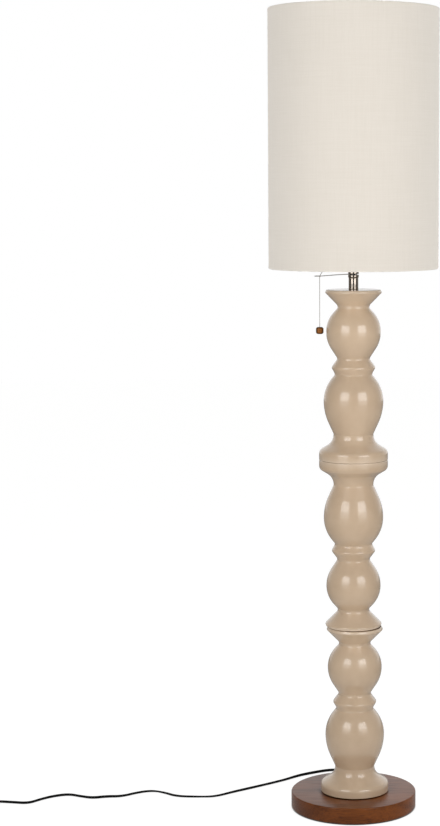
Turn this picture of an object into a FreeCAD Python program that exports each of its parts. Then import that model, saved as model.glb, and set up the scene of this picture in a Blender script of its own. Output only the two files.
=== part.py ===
import FreeCAD, Part
import math
import os
import Sketcher
from FreeCAD import Placement, Rotation, Vector

# Floor lamp: three stacked ceramic balusters on a walnut disc, a metal neck with a wire arm for the pull
# cord, a lampholder with its pull switch, and a tall linen drum shade.
# Millimetres, +Z up. The rod is on the Z axis, the floor is z = 0, and the lead leaves towards +Y.

doc = FreeCAD.newDocument("FloorLamp")
sheet = doc.addObject("Spreadsheet::Sheet", "dims")

# Driving sizes, one table for each group of pieces
driving = {
    # walnut disc, iron weight and felt
    "feltThick": 1.5,
    "feltInset": 8.0,
    "plateRadius": 125.0,
    "plateThick": 31.5,
    "plateEdgeRound": 2.0,
    "plateWeb": 7.5,
    "plateRimWall": 30.0,
    "weightGap": 3.0,
    "weightThick": 10.0,
    # hollow rod with its nut and washer
    "rodRadius": 5.0,
    "rodBore": 3.5,
    "rodSlack": 0.3,
    "rodWasherRadius": 15.0,
    "rodWasherThick": 1.5,
    "nutAcrossFlats": 14.0,
    "nutThick": 4.0,
    "rodThreadDepth": 14.0,
    # ceramic baluster: the radius at each narrow or wide place, and its height above the place below
    "segWall": 6.0,
    "segBore": 8.0,
    "lidThick": 6.0,
    "lidInnerRadius": 41.0,
    "footRadius": 68.0,
    "footBandHeight": 12.0,
    "footEdgeRound": 1.0,
    "ankleRadius": 39.4,
    "ankleStepHeight": 38.0,
    "bellyRadius": 58.8,
    "bellyStepHeight": 66.0,
    "waistRadius": 37.2,
    "waistStepHeight": 52.5,
    "beadRadius": 42.8,
    "beadStepHeight": 13.7,
    "collarWaistRadius": 32.5,
    "collarWaistStepHeight": 17.8,
    "bulbRadius": 53.9,
    "bulbStepHeight": 53.0,
    "throatRadius": 31.5,
    "throatStepHeight": 48.2,
    "flareRadius": 55.8,
    "flareStepHeight": 29.3,
    "flareLipHeight": 4.5,
    "flareTopRadius": 53.5,
    "hollowKneeShare": 0.3,
    # seal rings of the stack, and how far the lowest baluster sits off the axis in its clearance hole
    "footWasherThick": 0.5,
    "lowerWasherThick": 1.2,
    "upperWasherThick": 0.5,
    "washerInset": 1.2,
    "washerBand": 12.0,
    "seatShift": 2.5,
    # metal neck
    "neckRadius": 9.7,
    "neckLength": 23.6,
    "collarRadius": 10.7,
    "collarThick": 5.6,
    "collarRound": 1.4,
    # guide arm: wire, clamp loop round the rod, eye for the cord
    "armWireRadius": 0.8,
    "armLevelReach": 15.0,
    "armDrop": 3.6,
    "eyeOffset": 70.0,
    "eyeBore": 5.1,
    # pull cord and bead
    "cordRadius": 0.6,
    "cordOffset": 66.2,
    "cordGap": 0.3,
    "cordTravel": 12.0,
    "eyeStretch": 14.0,
    "beadCentreDrop": 106.6,
    "pullBeadRadius": 7.5,
    "pullBeadHeight": 13.8,
    "pullBeadRound": 4.2,
    "pullBeadBore": 0.9,
    "knotRadius": 1.5,
    "knotRecessDepth": 3.2,
    # lampholder
    "holderWall": 1.2,
    "bossRadius": 10.8,
    "bossHeight": 9.0,
    "domeHeight": 12.0,
    "capSkirt": 8.0,
    "holderRadius": 20.5,
    "switchHeight": 56.0,
    "sleeveRadius": 19.4,
    "sleeveWall": 1.6,
    "sleeveHeight": 36.0,
    "insertWall": 3.0,
    "insertFloor": 4.0,
    "shellWall": 0.5,
    "shellHeight": 25.0,
    "contactRadius": 4.0,
    "contactThick": 1.2,
    "spoutMouthOffset": 27.0,
    "spoutMouthHeight": 63.8,
    "spoutRadius": 6.5,
    "spoutBore": 1.8,
    "spoutBoreDepth": 14.2,
    "spoutRoot": 16.0,
    "spoutTip": 30.5,
    "spoutRound": 1.5,
    # bulb
    "lampCapRadius": 13.0,
    "lampCapHeight": 24.0,
    "lampTipHeight": 1.5,
    "glassRadius": 30.0,
    "glassNeckRadius": 12.6,
    "glassHeight": 84.0,
    "glassWall": 1.2,
    # shade
    "shadeRadius": 166.0,
    "shadeHeight": 501.0,
    "shadeOverlap": 10.0,
    "linenThick": 0.7,
    "linerThick": 0.7,
    "hemDepth": 12.0,
    "hemSlack": 0.1,
    "ringWireRadius": 1.8,
    "fitterHeightOverCap": 91.0,
    "fitterRadius": 32.0,
    "fitterThick": 1.5,
    "fitterSlack": 0.5,
    "shadeNutSlack": 0.1,
    "shadeNutRadius": 27.0,
    "shadeNutThick": 5.0,
    # flex, grommet, mains lead and plug
    "flexRadius": 2.4,
    "flexFloorGap": 0.3,
    "grommetHeight": 9.0,
    "grommetRadius": 5.0,
    "grommetDepth": 14.0,
    "grommetFlangeRadius": 7.3,
    "grommetFlangeThick": 2.0,
    "bootLength": 24.0,
    "bootTipRadius": 3.7,
    "bootGroove": 0.8,
    "leadRadius": 2.6,
    "coilPitch": 5.9,
    "coilMeanRadius": 28.5,
    "coilLayer": 5.8,
    "coilClimbBulge": 1.8,
    "leadLift": 0.05,
    "plugLength": 36.0,
    "plugWidth": 35.0,
    "plugNose": 24.0,
    "plugTail": 13.0,
    "plugThick": 13.6,
    "tailRun": 15.0,
    "tailMiddleRun": 19.0,
    "plugRound": 3.0,
    "pinRadius": 2.0,
    "pinLength": 19.0,
    "pinSpacing": 18.6,
    "cutOverrun": 2.0,
}

# The narrow and wide places of the baluster's profile, from its foot band up to the flare, and the arcs at
# the lower and the upper end of each wave between them, as shares of the largest pair that fits
stations = ["foot", "ankle", "belly", "waist", "bead", "collarWaist", "bulb", "throat", "flare"]
wave_arc_shares = {
    "ankle": (0.2655, 0.6575),
    "belly": (0.0328, 0.8527),
    "waist": (0.9383, 0.0335),
    "bead": (0.4602, 0.2556),
    "collarWaist": (0.2435, 0.3410),
    "bulb": (0.0655, 0.8254),
    "throat": (0.8722, 0.0952),
    "flare": (0.2683, 0.1006),
}

# Heights and radii that follow from the driving sizes
derived = {"footLevel": "footBandHeight"}
for below, station in zip(stations, stations[1:]):
    derived[station + "Level"] = "%sLevel + %sStepHeight" % (below, station)
    derived[station + "Swell"] = "abs(%sRadius - %sRadius)" % (station, below)
    derived[station + "ArcSum"] = "({0}StepHeight ^ 2 + {0}Swell ^ 2) / (2 * {0}Swell)".format(station)
    for name, share in zip(("LowArc", "HighArc"), wave_arc_shares[station]):
        derived[station + name] = "%s * %sArcSum" % (share, station)
derived.update({
    "segHeight": "flareLevel + flareLipHeight",
    "hollowKneeLevel": "footLevel + hollowKneeShare * ankleStepHeight",
    "recessRadius": "plateRadius - plateRimWall",
    "weightRadius": "recessRadius - weightGap",
    "feltRadius": "plateRadius - feltInset",
    "plateTop": "feltThick + plateThick",
    "recessTop": "plateTop - plateWeb",
    "weightBottom": "recessTop - weightThick",
    "rodWasherBottom": "weightBottom - rodWasherThick",
    "nutBottom": "rodWasherBottom - nutThick",
    "rodHole": "rodRadius + rodSlack",
    "lowSegBase": "plateTop + footWasherThick",
    "lowSegTop": "lowSegBase + segHeight",
    "midSegBase": "lowSegTop + lowerWasherThick",
    "midSegTop": "midSegBase + segHeight",
    "topSegBase": "midSegTop + upperWasherThick",
    "columnTop": "topSegBase + segHeight",
    "neckTop": "columnTop + neckLength",
    "collarTop": "neckTop + collarThick",
    "armHeight": "collarTop + armWireRadius",
    "eyeHeight": "armHeight - armDrop",
    "holderBase": "collarTop + 2 * armWireRadius",
    "rodTop": "holderBase + rodThreadDepth",
    "bossTop": "holderBase + bossHeight",
    "domeTop": "bossTop + domeHeight",
    "capTop": "domeTop + capSkirt",
    "switchTop": "domeTop + switchHeight",
    "insertTop": "switchTop + insertFloor",
    "shadeBottom": "holderBase + shadeOverlap",
    "shadeTop": "shadeBottom + shadeHeight",
    "hemInner": "shadeRadius - 2 * linenThick - linerThick - 2 * ringWireRadius - 2 * hemSlack",
    "wireRingRadius": "shadeRadius - linenThick - linerThick - hemSlack - ringWireRadius",
    "fitterHeight": "holderBase + fitterHeightOverCap",
    "pullBeadCentre": "eyeHeight - beadCentreDrop",
})


def fill_sheet():
    """Writes each size into column B under its alias, with its name in column A."""
    row = 1
    for name, value in list(driving.items()) + list(derived.items()):
        sheet.set("A%d" % row, name)
        sheet.set("B%d" % row, "=" + value if isinstance(value, str) else str(value))
        sheet.setAlias("B%d" % row, name)
        row += 1
    doc.recompute()


class Sizes:
    """Reads a size back from the sheet by its alias."""

    def __getattr__(self, name):
        return float(sheet.get(name))


fill_sheet()
size = Sizes()
nodes = []


def keep(item, label):
    """Gives a finished sub-part its label and adds it to the list of nodes."""
    item.Label = label
    nodes.append(item)
    return item


def bind(item, **expressions):
    """Binds properties to expressions; two underscores stand for a dot."""
    for name, expression in expressions.items():
        item.setExpression(name.replace("__", "."), expression)
    return item


def cylinder(name, radius, height, base):
    """A cylinder on the Z axis, bound to the sheet."""
    item = doc.addObject("Part::Cylinder", name)
    return bind(item, Radius=radius, Height=height, Placement__Base__z=base)


def cut(name, base, tool):
    item = doc.addObject("Part::Cut", name)
    item.Base = base
    item.Tool = tool
    return item


def washer(label, outer, inner, height, base, shift="0"):
    """A flat ring: outer cylinder less a longer inner one."""
    disc = cylinder(label + "_disc", outer, height, base)
    hole = cylinder(label + "_hole", inner, height + " + 2 * dims.cutOverrun", base + " - dims.cutOverrun")
    ring = cut(label + "_ring", disc, hole)
    bind(ring, Placement__Base__x=shift)
    return keep(ring, label)


def feature(label, shape):
    """A Part::Feature for a shape that is made with Part's own functions."""
    item = doc.addObject("Part::Feature", label + "_shape")
    item.Shape = shape
    return keep(item, label)


def origin_plane(body, role):
    for plane in body.Origin.OriginFeatures:
        if plane.Role == role:
            return plane
    raise ValueError(role)


def profile_sketch(body, name):
    """A sketch on the body's XZ plane: radius runs along X and height along Y."""
    sketch = body.newObject("Sketcher::SketchObject", name)
    sketch.AttachmentSupport = [(origin_plane(body, "XZ_Plane"), "")]
    sketch.MapMode = "FlatFace"
    return sketch


def revolve(body, sketch, kind):
    """Revolves a profile sketch about the Z axis, as a Revolution or a Groove."""
    turned = body.newObject("PartDesign::" + kind, body.Name + kind)
    turned.Profile = sketch
    turned.ReferenceAxis = (sketch, ["V_Axis"])
    turned.Angle = 360.0
    body.Tip = turned
    sketch.Visibility = False
    return turned


class Outline:
    """Draws a closed profile in a sketch, each point and arc bound to the sheet."""

    def __init__(self, sketch):
        self.sketch = sketch
        self.last = None
        self.first = None

    def value(self, text):
        """Adds up an expression made of aliases joined by + and - signs."""
        total = 0.0
        sign = 1.0
        for word in text.split():
            if word in "+-":
                sign = 1.0 if word == "+" else -1.0
            elif word != "0":
                total += sign * getattr(size, word)
        return total

    def dims_text(self, text):
        return " ".join("dims." + word if word[0].isalpha() else word for word in text.split())

    def pin(self, geo, end, point):
        """Fixes one end of a piece of geometry at a point given by two expressions."""
        radius, height = point
        for kind, text, axis in (("DistanceX", radius, -2), ("DistanceY", height, -1)):
            if text == "0":
                self.sketch.addConstraint(Sketcher.Constraint("PointOnObject", geo, end, axis))
                continue
            rule = Sketcher.Constraint(kind, -1, 1, geo, end, self.value(text))
            number = self.sketch.addConstraint(rule)
            self.sketch.setExpression("Constraints[%d]" % number, self.dims_text(text))

    def join(self, geo, end):
        """Makes the next piece of geometry start where the last one ended."""
        if self.last is None:
            self.first = (geo, end)
        else:
            self.sketch.addConstraint(Sketcher.Constraint("Coincident", self.last[0], self.last[1], geo, end))

    def line(self, start, end):
        """A straight line between two points given by expressions."""
        a = Vector(self.value(start[0]), self.value(start[1]), 0)
        b = Vector(self.value(end[0]), self.value(end[1]), 0)
        geo = self.sketch.addGeometry(Part.LineSegment(a, b), False)
        self.join(geo, 1)
        if self.last is None:
            self.pin(geo, 1, start)
        self.last = (geo, 2)
        if end != self.start_point:
            self.pin(geo, 2, end)
        return geo

    def begin(self, point):
        self.start_point = point
        self.point = point

    def to(self, point):
        """Draws a line from the last point to this one."""
        self.line(self.point, point)
        self.point = point

    def close(self):
        self.to(self.start_point)
        self.sketch.addConstraint(
            Sketcher.Constraint("Coincident", self.last[0], self.last[1], self.first[0], self.first[1]))

    def wave(self, station):
        """Goes from the last point to this station in an arc, a straight flank and an arc.

        Both ends run parallel to the axis. A wave outwards goes from a waist up to a belly, and one inwards
        from a belly up to a waist; the waist's arc has its centre outside the profile.
        """
        point = (station + "Radius", station + "Level")
        start_arc = station + "LowArc"
        end_arc = station + "HighArc"
        low = (self.value(self.point[0]), self.value(self.point[1]))
        high = (self.value(point[0]), self.value(point[1]))
        outwards = high[0] > low[0]
        rise = high[1] - low[1]
        swell = abs(high[0] - low[0])
        low_arc = self.value(start_arc)
        high_arc = self.value(end_arc)
        total = low_arc + high_arc
        slope = math.asin(total / math.hypot(rise, total - swell)) - math.atan2(total - swell, rise)
        side = 1.0 if outwards else -1.0
        low_centre = Vector(low[0] + side * low_arc, low[1], 0)
        high_centre = Vector(high[0] - side * high_arc, high[1], 0)
        low_span = (math.pi - slope, math.pi) if outwards else (0.0, slope)
        high_span = (-slope, 0.0) if outwards else (math.pi, math.pi + slope)
        up = Vector(0, 0, 1)
        first = Part.ArcOfCircle(Part.Circle(low_centre, up, low_arc), *low_span)
        third = Part.ArcOfCircle(Part.Circle(high_centre, up, high_arc), *high_span)
        # an arc runs anticlockwise, so a waist's arc starts at the flank and a belly's at the station
        first_ends = (2, 1) if outwards else (1, 2)
        third_ends = (1, 2) if outwards else (2, 1)
        leave = first.EndPoint if first_ends[1] == 2 else first.StartPoint
        arrive = third.StartPoint if third_ends[0] == 1 else third.EndPoint
        geo_first = self.sketch.addGeometry(first, False)
        geo_flank = self.sketch.addGeometry(Part.LineSegment(leave, arrive), False)
        geo_third = self.sketch.addGeometry(third, False)
        self.join(geo_first, first_ends[0])
        for rule in (
            Sketcher.Constraint("Tangent", geo_first, first_ends[1], geo_flank, 1),
            Sketcher.Constraint("Tangent", geo_flank, 2, geo_third, third_ends[0]),
            Sketcher.Constraint("Horizontal", geo_first, 3, geo_first, first_ends[0]),
            Sketcher.Constraint("Horizontal", geo_third, 3, geo_third, third_ends[1]),
        ):
            self.sketch.addConstraint(rule)
        for geo, radius, text in ((geo_first, low_arc, start_arc), (geo_third, high_arc, end_arc)):
            number = self.sketch.addConstraint(Sketcher.Constraint("Radius", geo, radius))
            self.sketch.setExpression("Constraints[%d]" % number, self.dims_text(text))
        self.last = (geo_third, third_ends[1])
        self.pin(geo_third, third_ends[1], point)
        self.point = point


def turned_body(name, outline_points):
    """A PartDesign body revolved from a straight-sided profile."""
    body = doc.addObject("PartDesign::Body", name)
    sketch = profile_sketch(body, name + "_profile")
    outline = Outline(sketch)
    outline.begin(outline_points[0])
    for point in outline_points[1:]:
        outline.to(point)
    outline.close()
    revolve(body, sketch, "Revolution")
    return body


def round_rims(body, name, radius, rims):
    """Rounds the circular edges at the given pairs of radius and height."""
    doc.recompute()
    base = body.Tip
    names = []
    for number, edge in enumerate(base.Shape.Edges, 1):
        curve = edge.Curve
        if not isinstance(curve, Part.Circle):
            continue
        for rim_radius, rim_height in rims:
            if math.isclose(curve.Radius, rim_radius, abs_tol=1e-4) and \
                    math.isclose(curve.Center.z, rim_height, abs_tol=1e-4):
                names.append("Edge%d" % number)
    fillet = body.newObject("PartDesign::Fillet", name)
    fillet.Base = (base, names)
    fillet.setExpression("Radius", "dims." + radius)
    body.Tip = fillet
    return fillet


# Runs of a cord, wire or cable: straight stretches joined by tangent arcs
corner_share = 0.45


def route_edges(points, label, arc_share=corner_share):
    """Straight runs joined by arcs, each as large as its two runs allow; prints the radii."""
    corners = [Vector(*point) for point in points]
    edges = []
    radii = []
    start = corners[0]
    for before, corner, after in zip(corners, corners[1:], corners[2:]):
        back = before - corner
        ahead = after - corner
        reach = arc_share * min(back.Length, ahead.Length)
        turn = math.pi - back.getAngle(ahead)
        radius = reach / math.tan(turn / 2)
        enter = corner + Vector(back).normalize() * reach
        leave = corner + Vector(ahead).normalize() * reach
        bisector = (Vector(back).normalize() + Vector(ahead).normalize()).normalize()
        middle = corner + bisector * (radius / math.cos(turn / 2) - radius)
        edges.append(Part.LineSegment(start, enter).toShape())
        edges.append(Part.Arc(enter, middle, leave).toShape())
        radii.append(radius)
        start = leave
    edges.append(Part.LineSegment(start, corners[-1]).toShape())
    if label:
        print(label, "corner radii", " ".join("%.1f" % radius for radius in radii))
    return edges


def tube_along(edges, radius, label):
    """Sweeps a round section along tangent edges and compares the volume with section times length."""
    path = Part.Wire(edges)
    start = edges[0].valueAt(edges[0].FirstParameter)
    heading = edges[0].tangentAt(edges[0].FirstParameter)
    ring = Part.Wire([Part.Circle(start, heading, radius).toShape()])
    solid = path.makePipeShell([ring], True, False)
    solid = solid if solid.ShapeType == "Solid" else Part.Solid(Part.Shell(solid.Faces))
    expected = math.pi * radius ** 2 * path.Length
    print(label, "length %.1f volume ratio %.4f" % (path.Length, solid.Volume / expected))
    return solid


def make_base():
    """Felt, walnut disc with its recess and lead hole, iron weight."""
    keep(cylinder("felt_disc", "dims.feltRadius", "dims.feltThick", "0"), "base_felt")
    plate = turned_body("plate_body", [
        ("rodHole", "recessTop"), ("recessRadius", "recessTop"), ("recessRadius", "feltThick"),
        ("plateRadius", "feltThick"), ("plateRadius", "plateTop"), ("rodHole", "plateTop")])
    round_rims(plate, "plate_edges", "plateEdgeRound", [
        (size.plateRadius, size.plateTop), (size.plateRadius, size.feltThick)])
    hole = plate.newObject("Sketcher::SketchObject", "plate_lead_hole")
    hole.AttachmentSupport = [(origin_plane(plate, "XZ_Plane"), "")]
    hole.MapMode = "FlatFace"
    centre = Vector(0, size.grommetHeight, 0)
    hole.addGeometry(Part.Circle(centre, Vector(0, 0, 1), size.grommetRadius), False)
    hole.addConstraint(Sketcher.Constraint("PointOnObject", 0, 3, -2))
    height_rule = hole.addConstraint(Sketcher.Constraint("DistanceY", -1, 1, 0, 3, size.grommetHeight))
    radius_rule = hole.addConstraint(Sketcher.Constraint("Radius", 0, size.grommetRadius))
    hole.setExpression("Constraints[%d]" % height_rule, "dims.grommetHeight")
    hole.setExpression("Constraints[%d]" % radius_rule, "dims.grommetRadius")
    doc.recompute()
    before = plate.Tip.Shape.Volume
    pocket = plate.newObject("PartDesign::Pocket", "plate_lead_bore")
    pocket.Profile = hole
    pocket.Type = "Length"
    pocket.setExpression("Length", "dims.plateRadius + dims.cutOverrun")
    plate.Tip = pocket
    doc.recompute()
    hole.Visibility = False
    # the bore runs through the rim on the +Y side, from the recess to the outside
    if pocket.Shape.Solids[0].CenterOfMass.y > 0:
        pocket.Reversed = not pocket.Reversed
        doc.recompute()
    print("lead bore removes %.0f mm3" % (before - pocket.Shape.Volume))
    keep(plate, "base_plate")
    washer("base_weight", "dims.weightRadius", "dims.rodHole", "dims.weightThick", "dims.weightBottom")


def make_rod():
    """Hollow rod, its washer and its thin hex nut."""
    rod = cylinder("rod_bar", "dims.rodRadius", "dims.rodTop - dims.nutBottom", "dims.nutBottom")
    bore = cylinder("rod_bore", "dims.rodBore", "dims.rodTop - dims.nutBottom + 2 * dims.cutOverrun",
                    "dims.nutBottom - dims.cutOverrun")
    keep(cut("rod_tube", rod, bore), "threaded_rod")
    washer("base_washer", "dims.rodWasherRadius", "dims.rodHole", "dims.rodWasherThick",
           "dims.rodWasherBottom")
    hexagon = doc.addObject("Part::Prism", "nut_hexagon")
    hexagon.Polygon = 6
    bind(hexagon, Circumradius="dims.nutAcrossFlats / 2 / cos(30)", Height="dims.nutThick",
         Placement__Base__z="dims.nutBottom")
    thread = cylinder("nut_thread", "dims.rodRadius", "dims.nutThick + 2 * dims.cutOverrun",
                      "dims.nutBottom - dims.cutOverrun")
    keep(cut("nut_cut", hexagon, thread), "base_nut")


# The hollow runs straight from one of these places to the next, since the bead is cast solid
hollow_stations = ["ankle", "belly", "waist", "collarWaist", "bulb", "throat"]


def make_segment(label, base, upside_down, shift):
    """One slip-cast baluster: turned outside, open foot, hollow bellies, holed lid at the flare."""
    body = doc.addObject("PartDesign::Body", label + "_body")
    skin = Outline(profile_sketch(body, label + "_skin"))
    skin.begin(("0", "0"))
    skin.to(("footRadius - footEdgeRound", "0"))
    skin.to(("footRadius", "footEdgeRound"))
    skin.to(("footRadius", "footLevel"))
    for station in stations[1:]:
        skin.wave(station)
    skin.to(("flareTopRadius", "segHeight"))
    skin.to(("0", "segHeight"))
    skin.close()
    revolve(body, skin.sketch, "Revolution")
    hollow = Outline(profile_sketch(body, label + "_hollow"))
    hollow.begin(("0", "0"))
    hollow.to(("footRadius - segWall", "0"))
    hollow.to(("footRadius - segWall", "segWall"))
    hollow.to(("ankleRadius", "hollowKneeLevel"))
    for station in hollow_stations:
        hollow.to((station + "Radius - segWall", station + "Level"))
    hollow.to(("lidInnerRadius", "segHeight - lidThick"))
    hollow.to(("segBore", "segHeight - lidThick"))
    hollow.to(("segBore", "segHeight + cutOverrun"))
    hollow.to(("0", "segHeight + cutOverrun"))
    hollow.close()
    revolve(body, hollow.sketch, "Groove")
    if upside_down:
        body.Placement.Rotation = Rotation(Vector(1, 0, 0), 180)
        bind(body, Placement__Base__z="dims." + base + " + dims.segHeight")
    else:
        bind(body, Placement__Base__z="dims." + base)
    bind(body, Placement__Base__x=shift)
    return keep(body, label)


def make_column():
    """Three balusters with the seal rings between them."""
    make_segment("segment_bottom", "lowSegBase", False, "dims.seatShift")
    make_segment("segment_middle", "midSegBase", True, "0")
    make_segment("segment_top", "topSegBase", False, "0")
    foot_outer = "dims.footRadius - dims.footEdgeRound - dims.washerInset"
    foot_inner = "dims.footRadius - dims.segWall"
    washer("foot_washer", foot_outer, foot_inner, "dims.footWasherThick", "dims.plateTop",
           "dims.seatShift")
    washer("washer_upper", foot_outer, foot_inner, "dims.upperWasherThick", "dims.midSegTop")
    flare_outer = "dims.flareTopRadius - dims.washerInset"
    washer("washer_lower", flare_outer, flare_outer + " - dims.washerBand", "dims.lowerWasherThick",
           "dims.lowSegTop", "dims.seatShift")


def make_neck():
    """Spacer tube and turned collar on the rod above the column."""
    washer("neck_tube", "dims.neckRadius", "dims.rodHole", "dims.neckLength", "dims.columnTop")
    collar = turned_body("collar_body", [
        ("rodHole", "neckTop"), ("collarRadius", "neckTop"), ("collarRadius", "collarTop"),
        ("rodHole", "collarTop")])
    round_rims(collar, "collar_edges", "collarRound", [
        (size.collarRadius, size.neckTop), (size.collarRadius, size.collarTop)])
    keep(collar, "neck_collar")


def make_guide_arm():
    """One bent wire: clamp loop on the rod, level start over the collar, gentle drop, eye for the cord."""
    wire = size.armWireRadius
    loop_radius = size.rodHole + wire
    eye_radius = size.eyeBore + wire
    eye_side = -size.eyeOffset + eye_radius
    loop = Part.makeTorus(loop_radius, wire, Vector(0, 0, size.armHeight))
    eye = Part.makeTorus(eye_radius, wire, Vector(-size.eyeOffset, 0, size.eyeHeight))
    bar = tube_along(route_edges([
        (-loop_radius, 0, size.armHeight),
        (-size.armLevelReach, 0, size.armHeight),
        (eye_side, 0, size.eyeHeight)], None), wire, "guide_arm")
    arm = loop.fuse([bar, eye])
    feature("guide_arm", arm)


def cord_heading():
    """The cord's straight line from the switch outlet down to the eye, as a unit vector."""
    mouth = Vector(-size.spoutMouthOffset, 0, size.eyeHeight + size.spoutMouthHeight)
    eye = Vector(-size.cordOffset, 0, size.eyeHeight)
    return mouth, (eye - mouth).normalize()


def make_pull_cord():
    """The cord's sloping stretch, its stretch through the eye, its drop, the bead and the knot."""
    mouth, heading = cord_heading()
    eye = Vector(-size.cordOffset, 0, size.eyeHeight)
    top = mouth - heading * (size.cordTravel + size.cordRadius)
    length = (eye - top).Length - 2 * size.cordRadius
    feature("pull_cord_inner", Part.makeCylinder(size.cordRadius, length, top, heading))
    down = Vector(0, 0, -1)
    feature("pull_cord_eye", Part.makeCylinder(size.cordRadius, size.eyeStretch, eye, down))
    pivot = eye + down * size.eyeStretch
    bead_top = size.pullBeadCentre + size.pullBeadHeight / 2
    bead_bottom = size.pullBeadCentre - size.pullBeadHeight / 2
    knot_top = bead_bottom + size.knotRecessDepth
    drop = pivot.z - size.cordGap - knot_top
    drop_start = pivot + down * size.cordGap
    feature("pull_cord_drop", Part.makeCylinder(size.cordRadius, drop, drop_start, down))
    bead = Part.makeCylinder(size.pullBeadRadius, size.pullBeadHeight,
                             Vector(-size.cordOffset, 0, bead_bottom))
    rims = [edge for edge in bead.Edges if isinstance(edge.Curve, Part.Circle)]
    bead = bead.makeFillet(size.pullBeadRound, rims)
    bore = Part.makeCylinder(size.pullBeadBore, size.pullBeadHeight + 2 * size.cutOverrun,
                             Vector(-size.cordOffset, 0, bead_bottom - size.cutOverrun))
    recess = Part.makeCylinder(size.knotRadius + size.cordGap, size.knotRecessDepth + size.cutOverrun,
                               Vector(-size.cordOffset, 0, bead_bottom - size.cutOverrun))
    feature("pull_bead", bead.cut(bore).cut(recess))
    feature("bead_knot", Part.makeSphere(size.knotRadius, Vector(-size.cordOffset, 0,
                                                                knot_top - size.knotRadius)))
    print("cord heading from vertical %.1f degrees" % math.degrees(math.acos(-heading.z)))
    print("bead pivot", tuple(round(value, 2) for value in pivot), "bead top %.1f" % bead_top)


def make_lampholder():
    """Cap, switch block, cord outlet, threaded sleeve, insert, screw shell and centre contact."""
    cap = turned_body("cap_body", [
        ("rodRadius", "holderBase"), ("bossRadius", "holderBase"), ("bossRadius", "bossTop"),
        ("holderRadius", "domeTop"), ("holderRadius", "capTop"), ("holderRadius - holderWall", "capTop"),
        ("holderRadius - holderWall", "domeTop"), ("bossRadius - holderWall", "bossTop + holderWall"),
        ("rodRadius", "bossTop + holderWall")])
    round_rims(cap, "cap_edges", "holderWall", [(size.bossRadius, size.holderBase)])
    keep(cap, "holder_cap")
    mouth, heading = cord_heading()
    core_radius = size.holderRadius - size.holderWall
    block = Part.makeCylinder(core_radius, size.capTop - size.domeTop, Vector(0, 0, size.domeTop))
    upper = Part.makeCylinder(size.holderRadius, size.switchTop - size.capTop, Vector(0, 0, size.capTop))
    # the cord outlet is a stub on the -X side; the cord leaves through a sloping hole in its underside
    stub_root = Vector(-size.spoutRoot, 0, mouth.z + size.spoutRadius)
    stub_length = size.spoutTip - size.spoutRoot
    socket = Part.makeCylinder(size.spoutRadius, stub_length, stub_root, Vector(-1, 0, 0))
    wire_way = Part.makeCylinder(size.rodBore, size.switchTop - size.domeTop, Vector(0, 0, size.domeTop))
    feature("holder_switch", block.fuse(upper).removeSplitter().cut(socket).cut(wire_way))
    stub = Part.makeCylinder(size.spoutRadius, stub_length, stub_root, Vector(-1, 0, 0))
    outer_rim = [edge for edge in stub.Edges if math.isclose(edge.CenterOfMass.x, -size.spoutTip)]
    stub = stub.makeFillet(size.spoutRound, outer_rim)
    bore = Part.makeCylinder(size.spoutBore, size.spoutBoreDepth + size.cutOverrun,
                             mouth + heading * size.cutOverrun, heading * -1)
    feature("holder_spout", stub.cut(bore))
    sleeve_inner = "dims.sleeveRadius - dims.sleeveWall"
    washer("holder_sleeve", "dims.sleeveRadius", sleeve_inner, "dims.sleeveHeight", "dims.switchTop")
    insert_radius = size.sleeveRadius - size.sleeveWall
    insert_height = size.insertFloor + size.shellHeight
    insert = Part.makeCylinder(insert_radius, insert_height, Vector(0, 0, size.switchTop))
    well = Part.makeCylinder(insert_radius - size.insertWall, size.shellHeight, Vector(0, 0, size.insertTop))
    feature("holder_insert", insert.cut(well))
    shell_outer = "dims.sleeveRadius - dims.sleeveWall - dims.insertWall"
    washer("screw_shell", shell_outer, shell_outer + " - dims.shellWall", "dims.shellHeight",
           "dims.insertTop")
    keep(cylinder("contact_disc", "dims.contactRadius", "dims.contactThick", "dims.insertTop"),
         "centre_contact")


def make_bulb():
    """Screw cap with its tip, and the pear-shaped glass."""
    tip_bottom = size.insertTop + size.contactThick
    cap_bottom = tip_bottom + size.lampTipHeight
    cap_top = cap_bottom + size.lampCapHeight
    tip = Part.makeCylinder(size.contactRadius, size.lampTipHeight, Vector(0, 0, tip_bottom))
    barrel = Part.makeCylinder(size.lampCapRadius, size.lampCapHeight, Vector(0, 0, cap_bottom))
    feature("bulb_cap", tip.fuse(barrel).removeSplitter())
    glass = pear(size.glassRadius, size.glassNeckRadius, cap_top)
    ball_height = cap_top + size.glassHeight - size.glassRadius
    ball = Part.makeSphere(size.glassRadius - size.glassWall, Vector(0, 0, ball_height))
    throat = Part.makeCylinder(size.glassNeckRadius - size.glassWall, ball_height - cap_top,
                               Vector(0, 0, cap_top))
    feature("bulb_glass", glass.cut(ball.fuse(throat)))


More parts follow.
